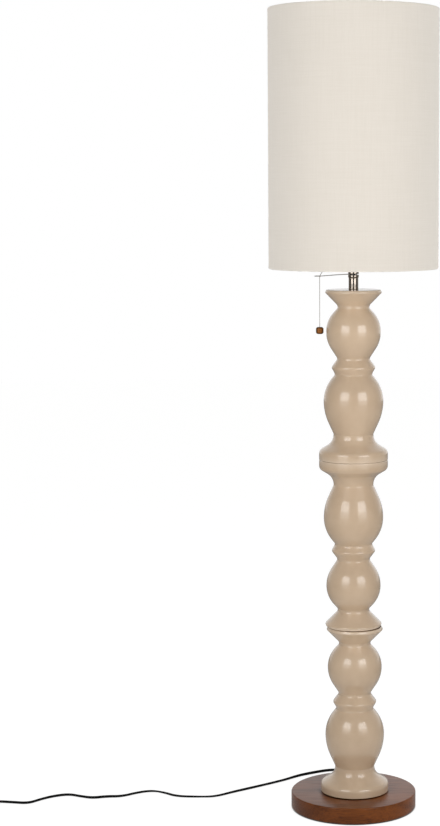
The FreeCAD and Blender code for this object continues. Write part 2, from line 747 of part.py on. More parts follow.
def pear(ball_radius, neck_radius, base):
    """A pear-shaped solid: a ball over a neck, joined by a tangent arc."""
    centre = base + size.glassHeight - size.glassRadius
    neck_rise = centre - base
    # the concave arc touches the ball and runs parallel to the axis at the base
    gap = neck_rise ** 2 + neck_radius ** 2 - ball_radius ** 2
    arc = gap / (2 * (ball_radius - neck_radius))
    ball_share = ball_radius / (ball_radius + arc)
    touch = Vector((neck_radius + arc) * ball_share, 0, centre - neck_rise * ball_share)
    half_turn = math.atan2(neck_rise, neck_radius + arc) / 2
    low_mid = Vector(neck_radius + arc - arc * math.cos(half_turn), 0, base + arc * math.sin(half_turn))
    crown_turn = math.atan2(touch.z - centre, touch.x)
    crown_mid_turn = (crown_turn + math.pi / 2) / 2
    crown_mid = Vector(ball_radius * math.cos(crown_mid_turn), 0,
                       centre + ball_radius * math.sin(crown_mid_turn))
    crown = Vector(0, 0, centre + ball_radius)
    foot = Vector(neck_radius, 0, base)
    edges = [
        Part.LineSegment(Vector(0, 0, base), foot).toShape(),
        Part.Arc(foot, low_mid, touch).toShape(),
        Part.Arc(touch, crown_mid, crown).toShape(),
        Part.LineSegment(crown, Vector(0, 0, base)).toShape(),
    ]
    return Part.Face(Part.Wire(edges)).revolve(Vector(0, 0, 0), Vector(0, 0, 1), 360)


# The shade's three arms, as turns about the axis; the gaps between them let a hand in from below
arm_turns = (30.0, 150.0, 270.0)


def spider_arms(radius):
    """The straight arms from the fitter ring down to the bottom wire ring."""
    ring_height = size.shadeBottom + size.linenThick + size.hemSlack + size.ringWireRadius
    arms = []
    for turn in arm_turns:
        out = Vector(math.cos(math.radians(turn)), math.sin(math.radians(turn)), 0)
        start = out * (size.fitterRadius - size.ringWireRadius)
        start.z = size.fitterHeight + size.fitterThick / 2
        end = out * size.wireRingRadius
        end.z = ring_height
        arms.append(Part.makeCylinder(radius, (end - start).Length, start, end - start))
    return arms, ring_height


def make_shade():
    """Linen skin with turned-in hems, stiff liner, wire rings, spider and its two threaded rings."""
    arms, ring_height = spider_arms(size.ringWireRadius)
    low_ring = Part.makeTorus(size.wireRingRadius, size.ringWireRadius, Vector(0, 0, ring_height))
    fitter = Part.makeCylinder(size.fitterRadius, size.fitterThick, Vector(0, 0, size.fitterHeight))
    fitter_hole = Part.makeCylinder(size.sleeveRadius + size.fitterSlack, size.fitterThick,
                                    Vector(0, 0, size.fitterHeight))
    feature("shade_spider", fitter.fuse(arms + [low_ring]).cut(fitter_hole))
    top_height = size.shadeTop - size.linenThick - size.hemSlack - size.ringWireRadius
    feature("shade_top_ring", Part.makeTorus(size.wireRingRadius, size.ringWireRadius,
                                             Vector(0, 0, top_height)))
    outer = "dims.shadeRadius - dims.linenThick"
    washer("shade_liner", outer, outer + " - dims.linerThick", "dims.shadeHeight - 2 * dims.linenThick",
           "dims.shadeBottom + dims.linenThick")
    linen = turned_body("linen_body", [
        ("hemInner", "shadeBottom"), ("shadeRadius", "shadeBottom"), ("shadeRadius", "shadeTop"),
        ("hemInner", "shadeTop"), ("hemInner", "shadeTop - hemDepth"),
        ("hemInner + linenThick", "shadeTop - hemDepth"), ("hemInner + linenThick", "shadeTop - linenThick"),
        ("shadeRadius - linenThick", "shadeTop - linenThick"),
        ("shadeRadius - linenThick", "shadeBottom + linenThick"),
        ("hemInner + linenThick", "shadeBottom + linenThick"),
        ("hemInner + linenThick", "shadeBottom + hemDepth"), ("hemInner", "shadeBottom + hemDepth")])
    doc.recompute()
    slits, _ = spider_arms(size.ringWireRadius + size.hemSlack)
    feature("shade_fabric", linen.Shape.cut(slits))
    nut_hole = "dims.sleeveRadius + dims.shadeNutSlack"
    washer("lower_shade_ring", "dims.shadeNutRadius", nut_hole, "dims.shadeNutThick",
           "dims.fitterHeight - dims.shadeNutThick")
    washer("upper_shade_ring", "dims.shadeNutRadius", nut_hole, "dims.shadeNutThick",
           "dims.fitterHeight + dims.fitterThick")


# Places of the boot's rings along its length
boot_groove_shares = (0.4, 0.6, 0.8)


def make_grommet():
    """Rubber bush in the plate's rim, with a flange and a tapered, ringed boot round the lead."""
    along = Vector(0, 1, 0)
    rim = Vector(0, size.plateRadius, size.grommetHeight)
    plug = Part.makeCylinder(size.grommetRadius, size.grommetDepth, rim - along * size.grommetDepth, along)
    flange = Part.makeCylinder(size.grommetFlangeRadius, size.grommetFlangeThick, rim, along)
    taper = Part.makeCone(size.grommetRadius, size.bootTipRadius, size.bootLength, rim, along)
    bore = Part.makeCylinder(size.leadRadius, size.grommetDepth + size.bootLength + 2 * size.cutOverrun,
                             rim - along * (size.grommetDepth + size.cutOverrun), along)
    boot = plug.fuse([flange, taper]).cut(bore)
    for groove_share in boot_groove_shares:
        place = rim + along * size.bootLength * groove_share
        boot = boot.cut(Part.makeTorus(size.grommetRadius, size.bootGroove, place, along))
    feature("lead_grommet", boot)


def make_flex():
    """The flex inside: down the rod, round under the weight and out through the grommet."""
    low = size.feltThick + size.flexFloorGap + size.flexRadius
    bend = size.nutBottom - low
    reach = bend / corner_share
    tip = size.plateRadius + size.bootLength
    points = [
        (0, 0, size.holderBase + size.rodThreadDepth),
        (0, 0, low + reach),
        (0, 0, low),
        (0, reach, low),
        (0, size.recessRadius - reach, low),
        (0, size.recessRadius + reach / 2, size.grommetHeight),
        (0, tip, size.grommetHeight),
    ]
    straight = Part.LineSegment(Vector(*points[0]), Vector(*points[1])).toShape()
    run = Part.LineSegment(Vector(*points[3]), Vector(*points[3]) + Vector(0, size.cutOverrun, 0)).toShape()
    turn = route_edges([points[1], points[2], points[3]], "inner_flex bend")
    rest = route_edges([tuple(run.valueAt(run.LastParameter)), points[4], points[5], points[6]], "inner_flex")
    feature("inner_flex", tube_along([straight] + turn + [run] + rest, size.flexRadius, "inner_flex"))


# The mains lead on the floor, from the boot's tip to the coil: hand-chosen points, in millimetres
lead_route = [
    (0, 149, 9), (0, 173, 8.3), (-3, 200, 3.3), (-17, 229, 2.65), (-47, 241, 2.65), (-84, 224, 2.65),
    (-116, 203, 2.65), (-146, 170, 2.65), (-180, 137, 2.65), (-216, 107, 2.65), (-250, 81, 2.65),
    (-283, 48, 2.65), (-318, 46, 2.65), (-362, 53, 2.65), (-389, 76, 2.65), (-415, 90, 2.65),
    (-444, 77, 2.65), (-473, 51, 2.65), (-505, 49, 2.65), (-531, 43, 2.65), (-556, 51, 2.65),
    (-583, 68, 2.65), (-612, 56, 2.65), (-635, 34, 2.65), (-657, 9, 2.65), (-690, 12, 2.65),
    (-735, 18, 2.65), (-775, 17, 2.65),
]


tiny = 1e-6


def biarc(start, start_heading, end, end_heading):
    """Two tangent arcs in space from one point and heading to another."""
    across = end - start
    sum_heading = start_heading + end_heading
    a = 2 * (1 - start_heading.dot(end_heading))
    b = 2 * across.dot(sum_heading)
    c = -across.dot(across)
    reach = (-b + math.sqrt(b * b - 4 * a * c)) / (2 * a) if abs(a) > tiny else -c / b
    knee_a = start + start_heading * reach
    knee_b = end - end_heading * reach
    joint = (knee_a + knee_b) / 2
    edges = []
    for first, knee, last in ((start, knee_a, joint), (joint, knee_b, end)):
        chord = (first + last) / 2
        leg = (first - knee).Length
        half = (last - first).Length / 2
        rise = (knee - chord).Length
        if rise < tiny:
            edges.append(Part.LineSegment(first, last).toShape())
            continue
        # middle of the arc that is tangent to both legs
        bow = half * (leg - half) / rise
        middle = chord + (knee - chord).normalize() * bow
        edges.append(Part.Arc(first, middle, last).toShape())
    return edges


# The coil in turns: inwards on the floor, a climb, then outwards on top, one arc pair to each step
coil_start_turn = 0.25
coil_turns_each_way = 2.25
coil_climb_turn = 0.5
coil_end_turn = 0.25
coil_step_turn = 0.25


def coil_point(turn, centre):
    """A point of the coil after so many turns from where the lead comes in."""
    inwards = coil_turns_each_way
    climb = coil_climb_turn
    outer = size.coilMeanRadius + size.coilPitch * inwards / 2
    if turn <= inwards:
        radius = outer - size.coilPitch * turn
        height = 0.0
    elif turn <= inwards + climb:
        radius = outer - size.coilPitch * inwards
        share = (turn - inwards) / climb
        radius -= size.coilClimbBulge * math.sin(math.pi * share) ** 2
        height = (1 - math.cos(math.pi * share)) / 2
    else:
        radius = outer - size.coilPitch * (2 * inwards + climb - turn)
        height = 1.0
    angle = 2 * math.pi * (coil_start_turn + turn)
    return Vector(centre.x + radius * math.cos(angle), centre.y + radius * math.sin(angle),
                  size.leadRadius + size.leadLift + size.coilLayer * height)


nudge = 1e-4


def make_lead():
    """The lead on the floor, its coil, the tail and the plug."""
    edges = route_edges(lead_route, "mains_lead")
    feature("mains_lead", tube_along(edges, size.leadRadius, "mains_lead"))
    entry = Vector(*lead_route[-1])
    outer = size.coilMeanRadius + size.coilPitch * coil_turns_each_way / 2
    # the lead comes in towards -X, so it meets the anticlockwise coil at its +Y side
    centre = entry - Vector(0, outer, 0)
    last_turn = 2 * coil_turns_each_way + coil_climb_turn + coil_end_turn
    places = []
    for number in range(round(last_turn / coil_step_turn) + 1):
        turn = number * coil_step_turn
        ahead = coil_point(min(turn + nudge, last_turn), centre)
        behind = coil_point(max(turn - nudge, 0.0), centre)
        places.append((coil_point(turn, centre), (ahead - behind).normalize()))
    places[0] = (places[0][0], Vector(-1, 0, 0))
    coil_edges = []
    for (start, start_heading), (end, end_heading) in zip(places, places[1:]):
        coil_edges += biarc(start, start_heading, end, end_heading)
    coil = tube_along(coil_edges, size.leadRadius, "lead_coil")
    feature("lead_coil", coil)
    print_coil_gap(coil_edges)
    return places[-1]


# Points of the coil's line are compared when they lie more than this many lead radii apart along it
own_length_count = 8


def print_coil_gap(edges):
    """Least gap between turns of the coil, measured on points along its line."""
    points = []
    travelled = 0.0
    step = size.leadRadius
    for edge in edges:
        number = max(2, int(edge.Length / step))
        for index in range(number):
            share = index / number
            place = edge.valueAt(edge.FirstParameter + share * (edge.LastParameter - edge.FirstParameter))
            points.append((travelled + share * edge.Length, place))
        travelled += edge.Length
    apart = own_length_count * size.leadRadius
    least = min((a - b).Length for position, (along_a, a) in enumerate(points)
                for along_b, b in points[position:] if along_b - along_a > apart)
    print("lead_coil least gap to itself %.2f, length %.1f" % (least - 2 * size.leadRadius, travelled))


def make_plug(finish, heading):
    """Short tail from the coil to a flat two-pin plug that lies beside it."""
    level = Vector(heading.x, heading.y, 0).normalize()
    side = Vector(level.y, -level.x, 0)
    entry = finish + level * (2 * size.tailRun + size.tailMiddleRun) + side * size.leadRadius
    entry.z = size.plugThick / 2
    leave = finish + heading * size.tailRun
    arrive = entry - level * size.tailRun
    edges = route_edges([tuple(finish), tuple(leave), tuple(arrive), tuple(entry)], "lead_tail")
    feature("lead_tail", tube_along(edges, size.leadRadius, "lead_tail"))
    outline_points = [
        (-size.plugTail / 2, 0), (size.plugTail / 2, 0), (size.plugWidth / 2, size.plugLength / 2),
        (size.plugNose / 2, size.plugLength), (-size.plugNose / 2, size.plugLength),
        (-size.plugWidth / 2, size.plugLength / 2)]
    flat = [Vector(x, y, -size.plugThick / 2) for x, y in outline_points]
    face = Part.Face(Part.makePolygon(flat + flat[:1]))
    body = face.extrude(Vector(0, 0, size.plugThick))
    body = body.makeFillet(size.plugRound, body.Edges)
    pins = []
    for side_share in (-0.5, 0.5):
        root = Vector(side_share * size.pinSpacing, size.plugLength, 0)
        pins.append(Part.makeCylinder(size.pinRadius, size.pinLength, root, Vector(0, 1, 0)))
    place = Placement(entry, Rotation(Vector(0, 1, 0), level))
    feature("plug_body", body).Placement = place
    feature("plug_pins", Part.makeCompound(pins)).Placement = place


def write_parts():
    """Checks every object, then writes each node to its own file."""
    doc.recompute()
    for item in doc.Objects:
        if "Invalid" in item.State or "Error" in item.State:
            raise RuntimeError("%s is %s" % (item.Name, item.State))
    os.makedirs("parts", exist_ok=True)
    for item in nodes:
        shape = item.Shape
        if shape.isNull() or not shape.isValid() or not shape.Solids:
            raise RuntimeError(item.Label + " has no valid solid")
    for item in nodes:
        item.Shape.exportStep("parts/%s.step" % item.Label)
        box = item.Shape.BoundBox
        print("%-18s solids %d volume %.0f z %.1f to %.1f" % (
            item.Label, len(item.Shape.Solids), item.Shape.Volume, box.ZMin, box.ZMax))


make_base()
make_rod()
make_column()
make_neck()
make_guide_arm()
make_pull_cord()
make_lampholder()
make_bulb()
make_shade()
make_grommet()
make_flex()
coil_finish, coil_heading = make_lead()
make_plug(coil_finish, coil_heading)
write_parts()
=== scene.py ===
import math
import bmesh
import bpy
from mathutils import Matrix, Vector


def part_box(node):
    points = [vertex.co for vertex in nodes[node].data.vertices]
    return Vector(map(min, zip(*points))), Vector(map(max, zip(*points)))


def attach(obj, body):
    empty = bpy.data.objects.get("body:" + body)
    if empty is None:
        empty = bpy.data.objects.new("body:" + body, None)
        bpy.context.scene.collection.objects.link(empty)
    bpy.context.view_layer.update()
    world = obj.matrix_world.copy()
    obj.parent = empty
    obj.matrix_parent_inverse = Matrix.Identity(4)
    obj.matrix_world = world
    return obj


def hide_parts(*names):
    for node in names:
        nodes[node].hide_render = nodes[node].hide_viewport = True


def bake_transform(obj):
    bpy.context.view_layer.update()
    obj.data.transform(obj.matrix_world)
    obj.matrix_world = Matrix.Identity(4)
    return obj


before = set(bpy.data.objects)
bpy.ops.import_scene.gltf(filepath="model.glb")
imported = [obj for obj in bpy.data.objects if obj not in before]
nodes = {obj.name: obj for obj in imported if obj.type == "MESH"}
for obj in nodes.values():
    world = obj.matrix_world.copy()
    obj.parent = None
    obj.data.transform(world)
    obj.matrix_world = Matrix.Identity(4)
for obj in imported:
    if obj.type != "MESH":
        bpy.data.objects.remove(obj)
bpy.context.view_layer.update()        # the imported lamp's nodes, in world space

scene = bpy.context.scene
mm = 0.001
weld = 1e-6        # metres within which vertices join


def boxOf(node):
    low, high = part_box(node)
    return low / mm, high / mm        # corners in millimetres, as the pens below count


# Shader helpers

def newGroup(name, inputs, outputs):
    group = bpy.data.node_groups.new(name, "ShaderNodeTree")
    for label, kind, value in inputs:
        socket = group.interface.new_socket(name=label, in_out="INPUT", socket_type=kind)
        if value is not None:
            socket.default_value = value
    for label, kind in outputs:
        group.interface.new_socket(name=label, in_out="OUTPUT", socket_type=kind)
    return group, group.nodes.new("NodeGroupInput").outputs, group.nodes.new("NodeGroupOutput").inputs


def feed(tree, sockets, values):        # links an output, or sets a plain value
    for socket, value in zip(sockets, values):
        if isinstance(value, bpy.types.NodeSocket):
            tree.links.new(value, socket)
        elif value is not None:
            socket.default_value = value


def feedNamed(tree, node, values):
    feed(tree, [node.inputs[label] for label in values], values.values())


def addMath(tree, operation, first, second=None, third=None):
    node = tree.nodes.new("ShaderNodeMath")
    node.operation = operation
    feed(tree, node.inputs, (first, second, third))
    return node.outputs[0]


def addRange(tree, value, low, high, start=0, end=1, easing="LINEAR"):
    node = tree.nodes.new("ShaderNodeMapRange")
    node.interpolation_type = easing
    feedNamed(tree, node, {"Value": value, "From Min": low, "From Max": high, "To Min": start, "To Max": end})
    return node.outputs["Result"]


def addNoise(tree, vector, scale, detail, roughness=0.5, distortion=0):
    node = tree.nodes.new("ShaderNodeTexNoise")
    feedNamed(tree, node, {"Vector": vector, "Scale": scale, "Detail": detail, "Roughness": roughness,
                           "Distortion": distortion})
    return node.outputs["Fac"]


def addStretch(tree, vector, scale, shift=(0, 0, 0)):
    node = tree.nodes.new("ShaderNodeMapping")
    feedNamed(tree, node, {"Vector": vector, "Location": shift, "Scale": scale})
    return node.outputs["Vector"]


def addSplit(tree, vector):
    node = tree.nodes.new("ShaderNodeSeparateXYZ")
    tree.links.new(vector, node.inputs[0])
    return node.outputs


def addMark(tree, name):        # reads an attribute of the mesh
    node = tree.nodes.new("ShaderNodeAttribute")
    node.attribute_name = name
    return node.outputs["Fac"]


def addColourMix(tree, factor, first, second):
    node = tree.nodes.new("ShaderNodeMix")
    node.data_type = "RGBA"
    tree.links.new(factor, node.inputs["Factor"])
    feed(tree, [socket for socket in node.inputs if socket.type == "RGBA"], (first, second))
    return [socket for socket in node.outputs if socket.type == "RGBA"][0]


def addShaderMix(tree, factor, first, second):
    node = tree.nodes.new("ShaderNodeMixShader")
    feed(tree, node.inputs, (factor, first, second))
    return node.outputs[0]


def startFinish(name, settings):
    material = bpy.data.materials.new(name)
    material.use_nodes = True
    tree = material.node_tree
    shader = tree.nodes["Principled BSDF"]
    feedNamed(tree, shader, settings)
    return material, tree, shader, tree.nodes.new("ShaderNodeTexCoord").outputs["Object"]


# Camera, floor and studio light

view = {"place": (0, -3.85, 1.237), "tiltDown": 6.52, "lens": 85.64, "sensor": 36,
        "shift": -0.1616}        # the lamp stands right of the picture's middle

cameraData = bpy.data.cameras.new("photoCamera")
cameraData.sensor_width = view["sensor"]
cameraData.lens = view["lens"]
cameraData.shift_x = view["shift"]
camera = bpy.data.objects.new("photoCamera", cameraData)
camera.location = view["place"]
camera.rotation_euler = (math.radians(90 - view["tiltDown"]), 0, 0)
scene.collection.objects.link(camera)
scene.camera = camera
scene.view_settings.view_transform = "Standard"

studio = {
    "frontLevel": 0.22,       # dim room behind the camera
    "backLevel": 1.1,         # white sweep behind the lamp
    "leftLevel": 0.75,        # both side levels scale the two above
    "rightLevel": 1.01,
    "sweepStart": -0.4,
    "glossyStart": 0.2,
    "boxWidth": 1.25,
    "boxDistance": 2.0,
    "boxBands": ((0.08, 0.5, 0.6), (0.5, 0.95, 2.6), (0.95, 1.9, 13.6)),        # low, high and power
    "leftTurn": -35,
    "rightTurn": 36,
    "leftShare": 1.04,
    "rightShare": 1.08,
    "fillPower": 7.0,         # broad and diffuse, beside the camera
    "fillSize": 1.6,
    "fillPlace": (0.35, -3.2, 2.2),
    "fillAim": (0, 0, 0.9),
    "floorRadius": 9,
    "floorSides": 96,
    "floorColour": (0.86, 0.86, 0.85, 1),
    "floorGlow": 1.21,
    "floorShare": 0.74,        # the rest is lit, and so keeps the shadow
    "poolMirror": 0.45,       # how pale the floor is in the glaze and the wood near the lamp
    "farMirror": 0.24,        # and away from it
    "poolRadius": 0.25,
    "poolFade": 0.9,
    "paintedShadowWithin": (0.1225, 0.126),        # radii between which the floor turns dark under the disc: a painted contact shadow, darker than the lit floor's own shade there
}


def addSoftBox(name, turn, share):
    angle = math.radians(turn)
    reach = studio["boxDistance"]
    for low, high, power in studio["boxBands"]:
        lamp = bpy.data.lights.new(name, "AREA")
        lamp.shape = "RECTANGLE"
        lamp.size = studio["boxWidth"]
        lamp.size_y = high - low
        lamp.energy = power * share
        box = bpy.data.objects.new(name, lamp)
        box.location = (reach * math.sin(angle), -reach * math.cos(angle), (low + high) / 2)
        box.rotation_euler = (math.pi / 2, 0, angle)
        scene.collection.objects.link(box)


def addFill():
    lamp = bpy.data.lights.new("frontFill", "AREA")
    lamp.size = studio["fillSize"]
    lamp.energy = studio["fillPower"]
    fill = bpy.data.objects.new("frontFill", lamp)
    fill.location = studio["fillPlace"]
    aim = Vector(studio["fillAim"]) - fill.location
    fill.rotation_euler = aim.to_track_quat("-Z", "Y").to_euler()
    fill.visible_glossy = False        # lights the lamp without a third highlight
    scene.collection.objects.link(fill)


def lightWorld():
    world = bpy.data.worlds.new("whiteSweep")
    scene.world = world
    world.use_nodes = True
    tree = world.node_tree
    tree.nodes.clear()
    path = tree.nodes.new("ShaderNodeLightPath").outputs
    split = addSplit(tree, tree.nodes.new("ShaderNodeTexCoord").outputs["Generated"])
    wide, narrow = studio["sweepStart"], studio["glossyStart"]        # narrower in the glaze than it lights
    start = addMath(tree, "MULTIPLY_ADD", path["Is Glossy Ray"], narrow - wide, wide)
    sweep = addRange(tree, split["Y"], start, 1, studio["frontLevel"], studio["backLevel"], "SMOOTHSTEP")
    sides = addRange(tree, split["X"], -1, 1, studio["leftLevel"], studio["rightLevel"])
    lit = tree.nodes.new("ShaderNodeBackground")
    tree.links.new(addMath(tree, "MULTIPLY", sweep, sides), lit.inputs["Color"])
    white = tree.nodes.new("ShaderNodeBackground")
    white.inputs["Color"].default_value = (1, 1, 1, 1)
    seen = addMath(tree, "MAXIMUM", path["Is Camera Ray"], path["Is Transmission Ray"])
    out = tree.nodes.new("ShaderNodeOutputWorld")
    tree.links.new(addShaderMix(tree, seen, lit.outputs[0], white.outputs[0]), out.inputs["Surface"])


def layFloor():
    bm = bmesh.new()
    bmesh.ops.create_circle(bm, cap_ends=True, segments=studio["floorSides"], radius=studio["floorRadius"])
    mesh = bpy.data.meshes.new("studioFloor")
    bm.to_mesh(mesh)
    bm.free()
    floor = bpy.data.objects.new("studioFloor", mesh)
    scene.collection.objects.link(floor)
    material, tree, shader, place = startFinish("paleFloor", {
        "Base Color": studio["floorColour"], "Roughness": 0.9, "Specular IOR Level": 0.1})
    path = tree.nodes.new("ShaderNodeLightPath").outputs
    away = tree.nodes.new("ShaderNodeVectorMath")
    away.operation = "LENGTH"
    tree.links.new(place, away.inputs[0])
    reach = away.outputs["Value"]
    glow = tree.nodes.new("ShaderNodeEmission")
    feed(tree, glow.inputs, (addRange(tree, reach, *studio["paintedShadowWithin"]), studio["floorGlow"]))
    seen = addMath(tree, "MAXIMUM", path["Is Camera Ray"], path["Is Transmission Ray"])
    share = addMath(tree, "MULTIPLY", seen, studio["floorShare"])
    plain = addShaderMix(tree, share, shader.outputs[0], glow.outputs[0])
    dim = tree.nodes.new("ShaderNodeEmission")
    levels = studio["poolMirror"], studio["farMirror"]
    pool = addRange(tree, reach, studio["poolRadius"], studio["poolFade"], *levels)
    tree.links.new(pool, dim.inputs["Strength"])
    mirrored = addShaderMix(tree, path["Is Glossy Ray"], plain, dim.outputs[0])
    tree.links.new(mirrored, tree.nodes["Material Output"].inputs["Surface"])
    mesh.materials.append(material)


addSoftBox("leftSoftBox", studio["leftTurn"], studio["leftShare"])
addSoftBox("rightSoftBox", studio["rightTurn"], studio["rightShare"])
addFill()
lightWorld()
layFloor()
print("studio ready")


# Shader groups that several finishes share

grain = {"stretch": (0.12, 1, 1), "figure": (5, 0.6, 0.7), "rings": 34, "ringShare": 0.45,
         "fibreStretch": (0.05, 1, 1), "fibreDetail": 2, "pores": (0.32, 0.55), "poreShare": 0.5,
         "roughness": 0.38, "poreRoughness": -0.1}


def makeWoodGroup():
    group, entry, leave = newGroup(
        "woodGrain",
        [("Vector", "NodeSocketVector", None), ("Light", "NodeSocketColor", (0.2, 0.1, 0.05, 1)),
         ("Dark", "NodeSocketColor", (0.1, 0.05, 0.02, 1)), ("Figure", "NodeSocketFloat", 9.0),
         ("Fibre", "NodeSocketFloat", 300.0)],
        [("Color", "NodeSocketColor"), ("Height", "NodeSocketFloat"), ("Roughness", "NodeSocketFloat")])
    board = addStretch(group, entry["Vector"], grain["stretch"])
    figure = addNoise(group, board, entry["Figure"], *grain["figure"])
    rings = addMath(group, "SINE", addMath(group, "MULTIPLY", figure, grain["rings"]))
    stripe = addMath(group, "MULTIPLY_ADD", rings, 0.5, 0.5)        # from 0 to 1
    fibres = addStretch(group, entry["Vector"], grain["fibreStretch"])
    pores = addRange(group, addNoise(group, fibres, entry["Fibre"], grain["fibreDetail"]), *grain["pores"])
    dark = addMath(group, "MULTIPLY", pores, grain["poreShare"])
    blend = addMath(group, "MULTIPLY_ADD", stripe, grain["ringShare"], dark)
    colour = addColourMix(group, blend, entry["Dark"], entry["Light"])
    rough = addMath(group, "MULTIPLY_ADD", pores, grain["poreRoughness"], grain["roughness"])
    feed(group, leave, (colour, pores, rough))
    return group


mottle = {"cloudDetail": 4, "speckDetail": 2, "spread": (0.3, 0.7), "cloudShare": 0.7, "speckShare": 0.3}


def makeMottleGroup():
    group, entry, leave = newGroup(
        "softMottle",
        [("Vector", "NodeSocketVector", None), ("Colour One", "NodeSocketColor", (0.5, 0.5, 0.5, 1)),
         ("Colour Two", "NodeSocketColor", (0.5, 0.5, 0.5, 1)), ("Scale", "NodeSocketFloat", 30.0),
         ("Speck", "NodeSocketFloat", 400.0)],
        [("Color", "NodeSocketColor"), ("Height", "NodeSocketFloat")])
    cloud = addNoise(group, entry["Vector"], entry["Scale"], mottle["cloudDetail"])
    speck = addNoise(group, entry["Vector"], entry["Speck"], mottle["speckDetail"])
    spread = addRange(group, cloud, *mottle["spread"])
    colour = addColourMix(group, spread, entry["Colour One"], entry["Colour Two"])
    swell = addMath(group, "MULTIPLY", cloud, mottle["cloudShare"])
    height = addMath(group, "MULTIPLY_ADD", speck, mottle["speckShare"], swell)
    feed(group, leave, (colour, height))
    return group


# cells per metre across and along a yarn, then where the warp's and the weft's pattern starts
weave = {"yarn": (1100, 26, 0, 7), "slub": (420, 14, 2, 5), "yarnTone": 0.6, "slubTone": 0.3,
         "toneShift": -0.4, "yarnHeight": 0.5, "slubHeight": 0.3}


def addYarn(tree, cloth, scale, shift):        # long cells, each with its own tone
    node = tree.nodes.new("ShaderNodeTexVoronoi")
    node.voronoi_dimensions = "2D"
    feedNamed(tree, node, {"Vector": addStretch(tree, cloth, scale, (shift, 2 * shift, 0)), "Scale": 1})
    tone = tree.nodes.new("ShaderNodeSeparateColor")
    tree.links.new(node.outputs["Color"], tone.inputs[0])
    return tone.outputs[0]


def addYarns(tree, cloth, across, along, warpShift, weftShift):
    warp = addYarn(tree, cloth, (across, along, 1), warpShift)
    weft = addYarn(tree, cloth, (along, across, 1), weftShift)
    return addMath(tree, "ADD", warp, weft)


def makeWeaveGroup():
    group, entry, leave = newGroup(
        "linenWeave",
        [("Vector", "NodeSocketVector", None), ("Radius", "NodeSocketFloat", 0.166),
         ("Light", "NodeSocketColor", (0.8, 0.75, 0.7, 1)), ("Dark", "NodeSocketColor", (0.6, 0.55, 0.5, 1))],
        [("Color", "NodeSocketColor"), ("Height", "NodeSocketFloat")])
    split = addSplit(group, entry["Vector"])
    back = addMath(group, "MULTIPLY", split["Y"], -1)
    turn = addMath(group, "ARCTAN2", split["X"], back)        # the wrap lies under the back seam
    around = addMath(group, "MULTIPLY", turn, entry["Radius"])
    cloth = group.nodes.new("ShaderNodeCombineXYZ")
    feed(group, cloth.inputs, (around, split["Z"]))
    slub = addYarns(group, cloth.outputs[0], *weave["slub"])
    yarn = addYarns(group, cloth.outputs[0], *weave["yarn"])
    plain = addMath(group, "MULTIPLY_ADD", yarn, weave["yarnTone"], weave["toneShift"])
    tone = addMath(group, "MULTIPLY_ADD", slub, weave["slubTone"], plain)
    colour = addColourMix(group, tone, entry["Dark"], entry["Light"])
    lumps = addMath(group, "MULTIPLY", slub, weave["slubHeight"])
    height = addMath(group, "MULTIPLY_ADD", yarn, weave["yarnHeight"], lumps)
    feed(group, leave, (colour, height))
    return group


woodGrain = makeWoodGroup()
softMottle = makeMottleGroup()
linenWeave = makeWeaveGroup()


# Finishes

def addBump(tree, shader, height, strength, distance):
    bump = tree.nodes.new("ShaderNodeBump")
    feedNamed(tree, bump, {"Strength": strength, "Distance": distance, "Height": height})
    tree.links.new(bump.outputs["Normal"], shader.inputs["Normal"])


def placeGroup(tree, group, place, values):
    node = tree.nodes.new("ShaderNodeGroup")
    node.node_tree = group
    feedNamed(tree, node, {"Vector": place, **values})
    return node.outputs


def mottledFinish(name, one, two, scale, speck, settings, strength=0.2, distance=0.0002):
    material, tree, shader, place = startFinish(name, settings)
    values = {"Colour One": one, "Colour Two": two, "Scale": scale, "Speck": speck}
    tones = placeGroup(tree, softMottle, place, values)
    tree.links.new(tones["Color"], shader.inputs["Base Color"])
    addBump(tree, shader, tones["Height"], strength, distance)
    return material


def addShade(tree, shader, colour, shadeColour):        # painted contact shade: darker and duller where a piece sits on another
    mark = addMark(tree, "seatShade")
    for gloss in ("Specular IOR Level", "Coat Weight"):
        level = shader.inputs[gloss].default_value
        tree.links.new(addMath(tree, "MULTIPLY_ADD", mark, -level, level), shader.inputs[gloss])
    return addColourMix(tree, mark, colour, shadeColour)


def addSideToSideTone(tree, place, colour, tones):        # the disc's colour runs darker towards the left and lighter towards the right
    across = addRange(tree, addSplit(tree, place)["X"], *sideToSideReach)
    product = tree.nodes.new("ShaderNodeVectorMath")
    product.operation = "MULTIPLY"
    feed(tree, product.inputs, (colour, addColourMix(tree, across, *tones)))
    return product.outputs[0]


def woodFinish(name, light, dark, figure, fibre, settings, strength, rim=0, tones=None):
    material, tree, shader, place = startFinish(name, settings)
    values = {"Light": light, "Dark": dark, "Figure": figure, "Fibre": fibre}
    wood = placeGroup(tree, woodGrain, place, values)
    colour = addSideToSideTone(tree, place, wood["Color"], tones) if tones else wood["Color"]
    # painted contact shade, where the seatShade mark is set
    colour = addShade(tree, shader, colour, (0.020, 0.005, 0.001, 1))
    if rim:        # painted shade: darker towards the silhouette all round, by the angle at which the piece is seen
        edge = tree.nodes.new("ShaderNodeLayerWeight")
        edge.inputs["Blend"].default_value = rim
        colour = addColourMix(tree, edge.outputs["Facing"], colour, (0.010, 0.003, 0.001, 1))
    tree.links.new(colour, shader.inputs["Base Color"])
    tree.links.new(wood["Roughness"], shader.inputs["Roughness"])
    addBump(tree, shader, wood["Height"], strength, 0.0002)
    return material


def linenFinish(name, light, dark, radius, strength):
    material, tree, shader, place = startFinish(
        name, {"Roughness": 0.92, "Diffuse Roughness": 1.0, "Sheen Weight": 0.12, "Sheen Roughness": 0.6,
               "Specular IOR Level": 0.2, "Sheen Tint": (1, 0.88, 0.76, 1)})
    cloth = placeGroup(tree, linenWeave, place, {"Light": light, "Dark": dark, "Radius": radius})
    tree.links.new(cloth["Color"], shader.inputs["Base Color"])
    addBump(tree, shader, cloth["Height"], strength, 0.0003)
    return material


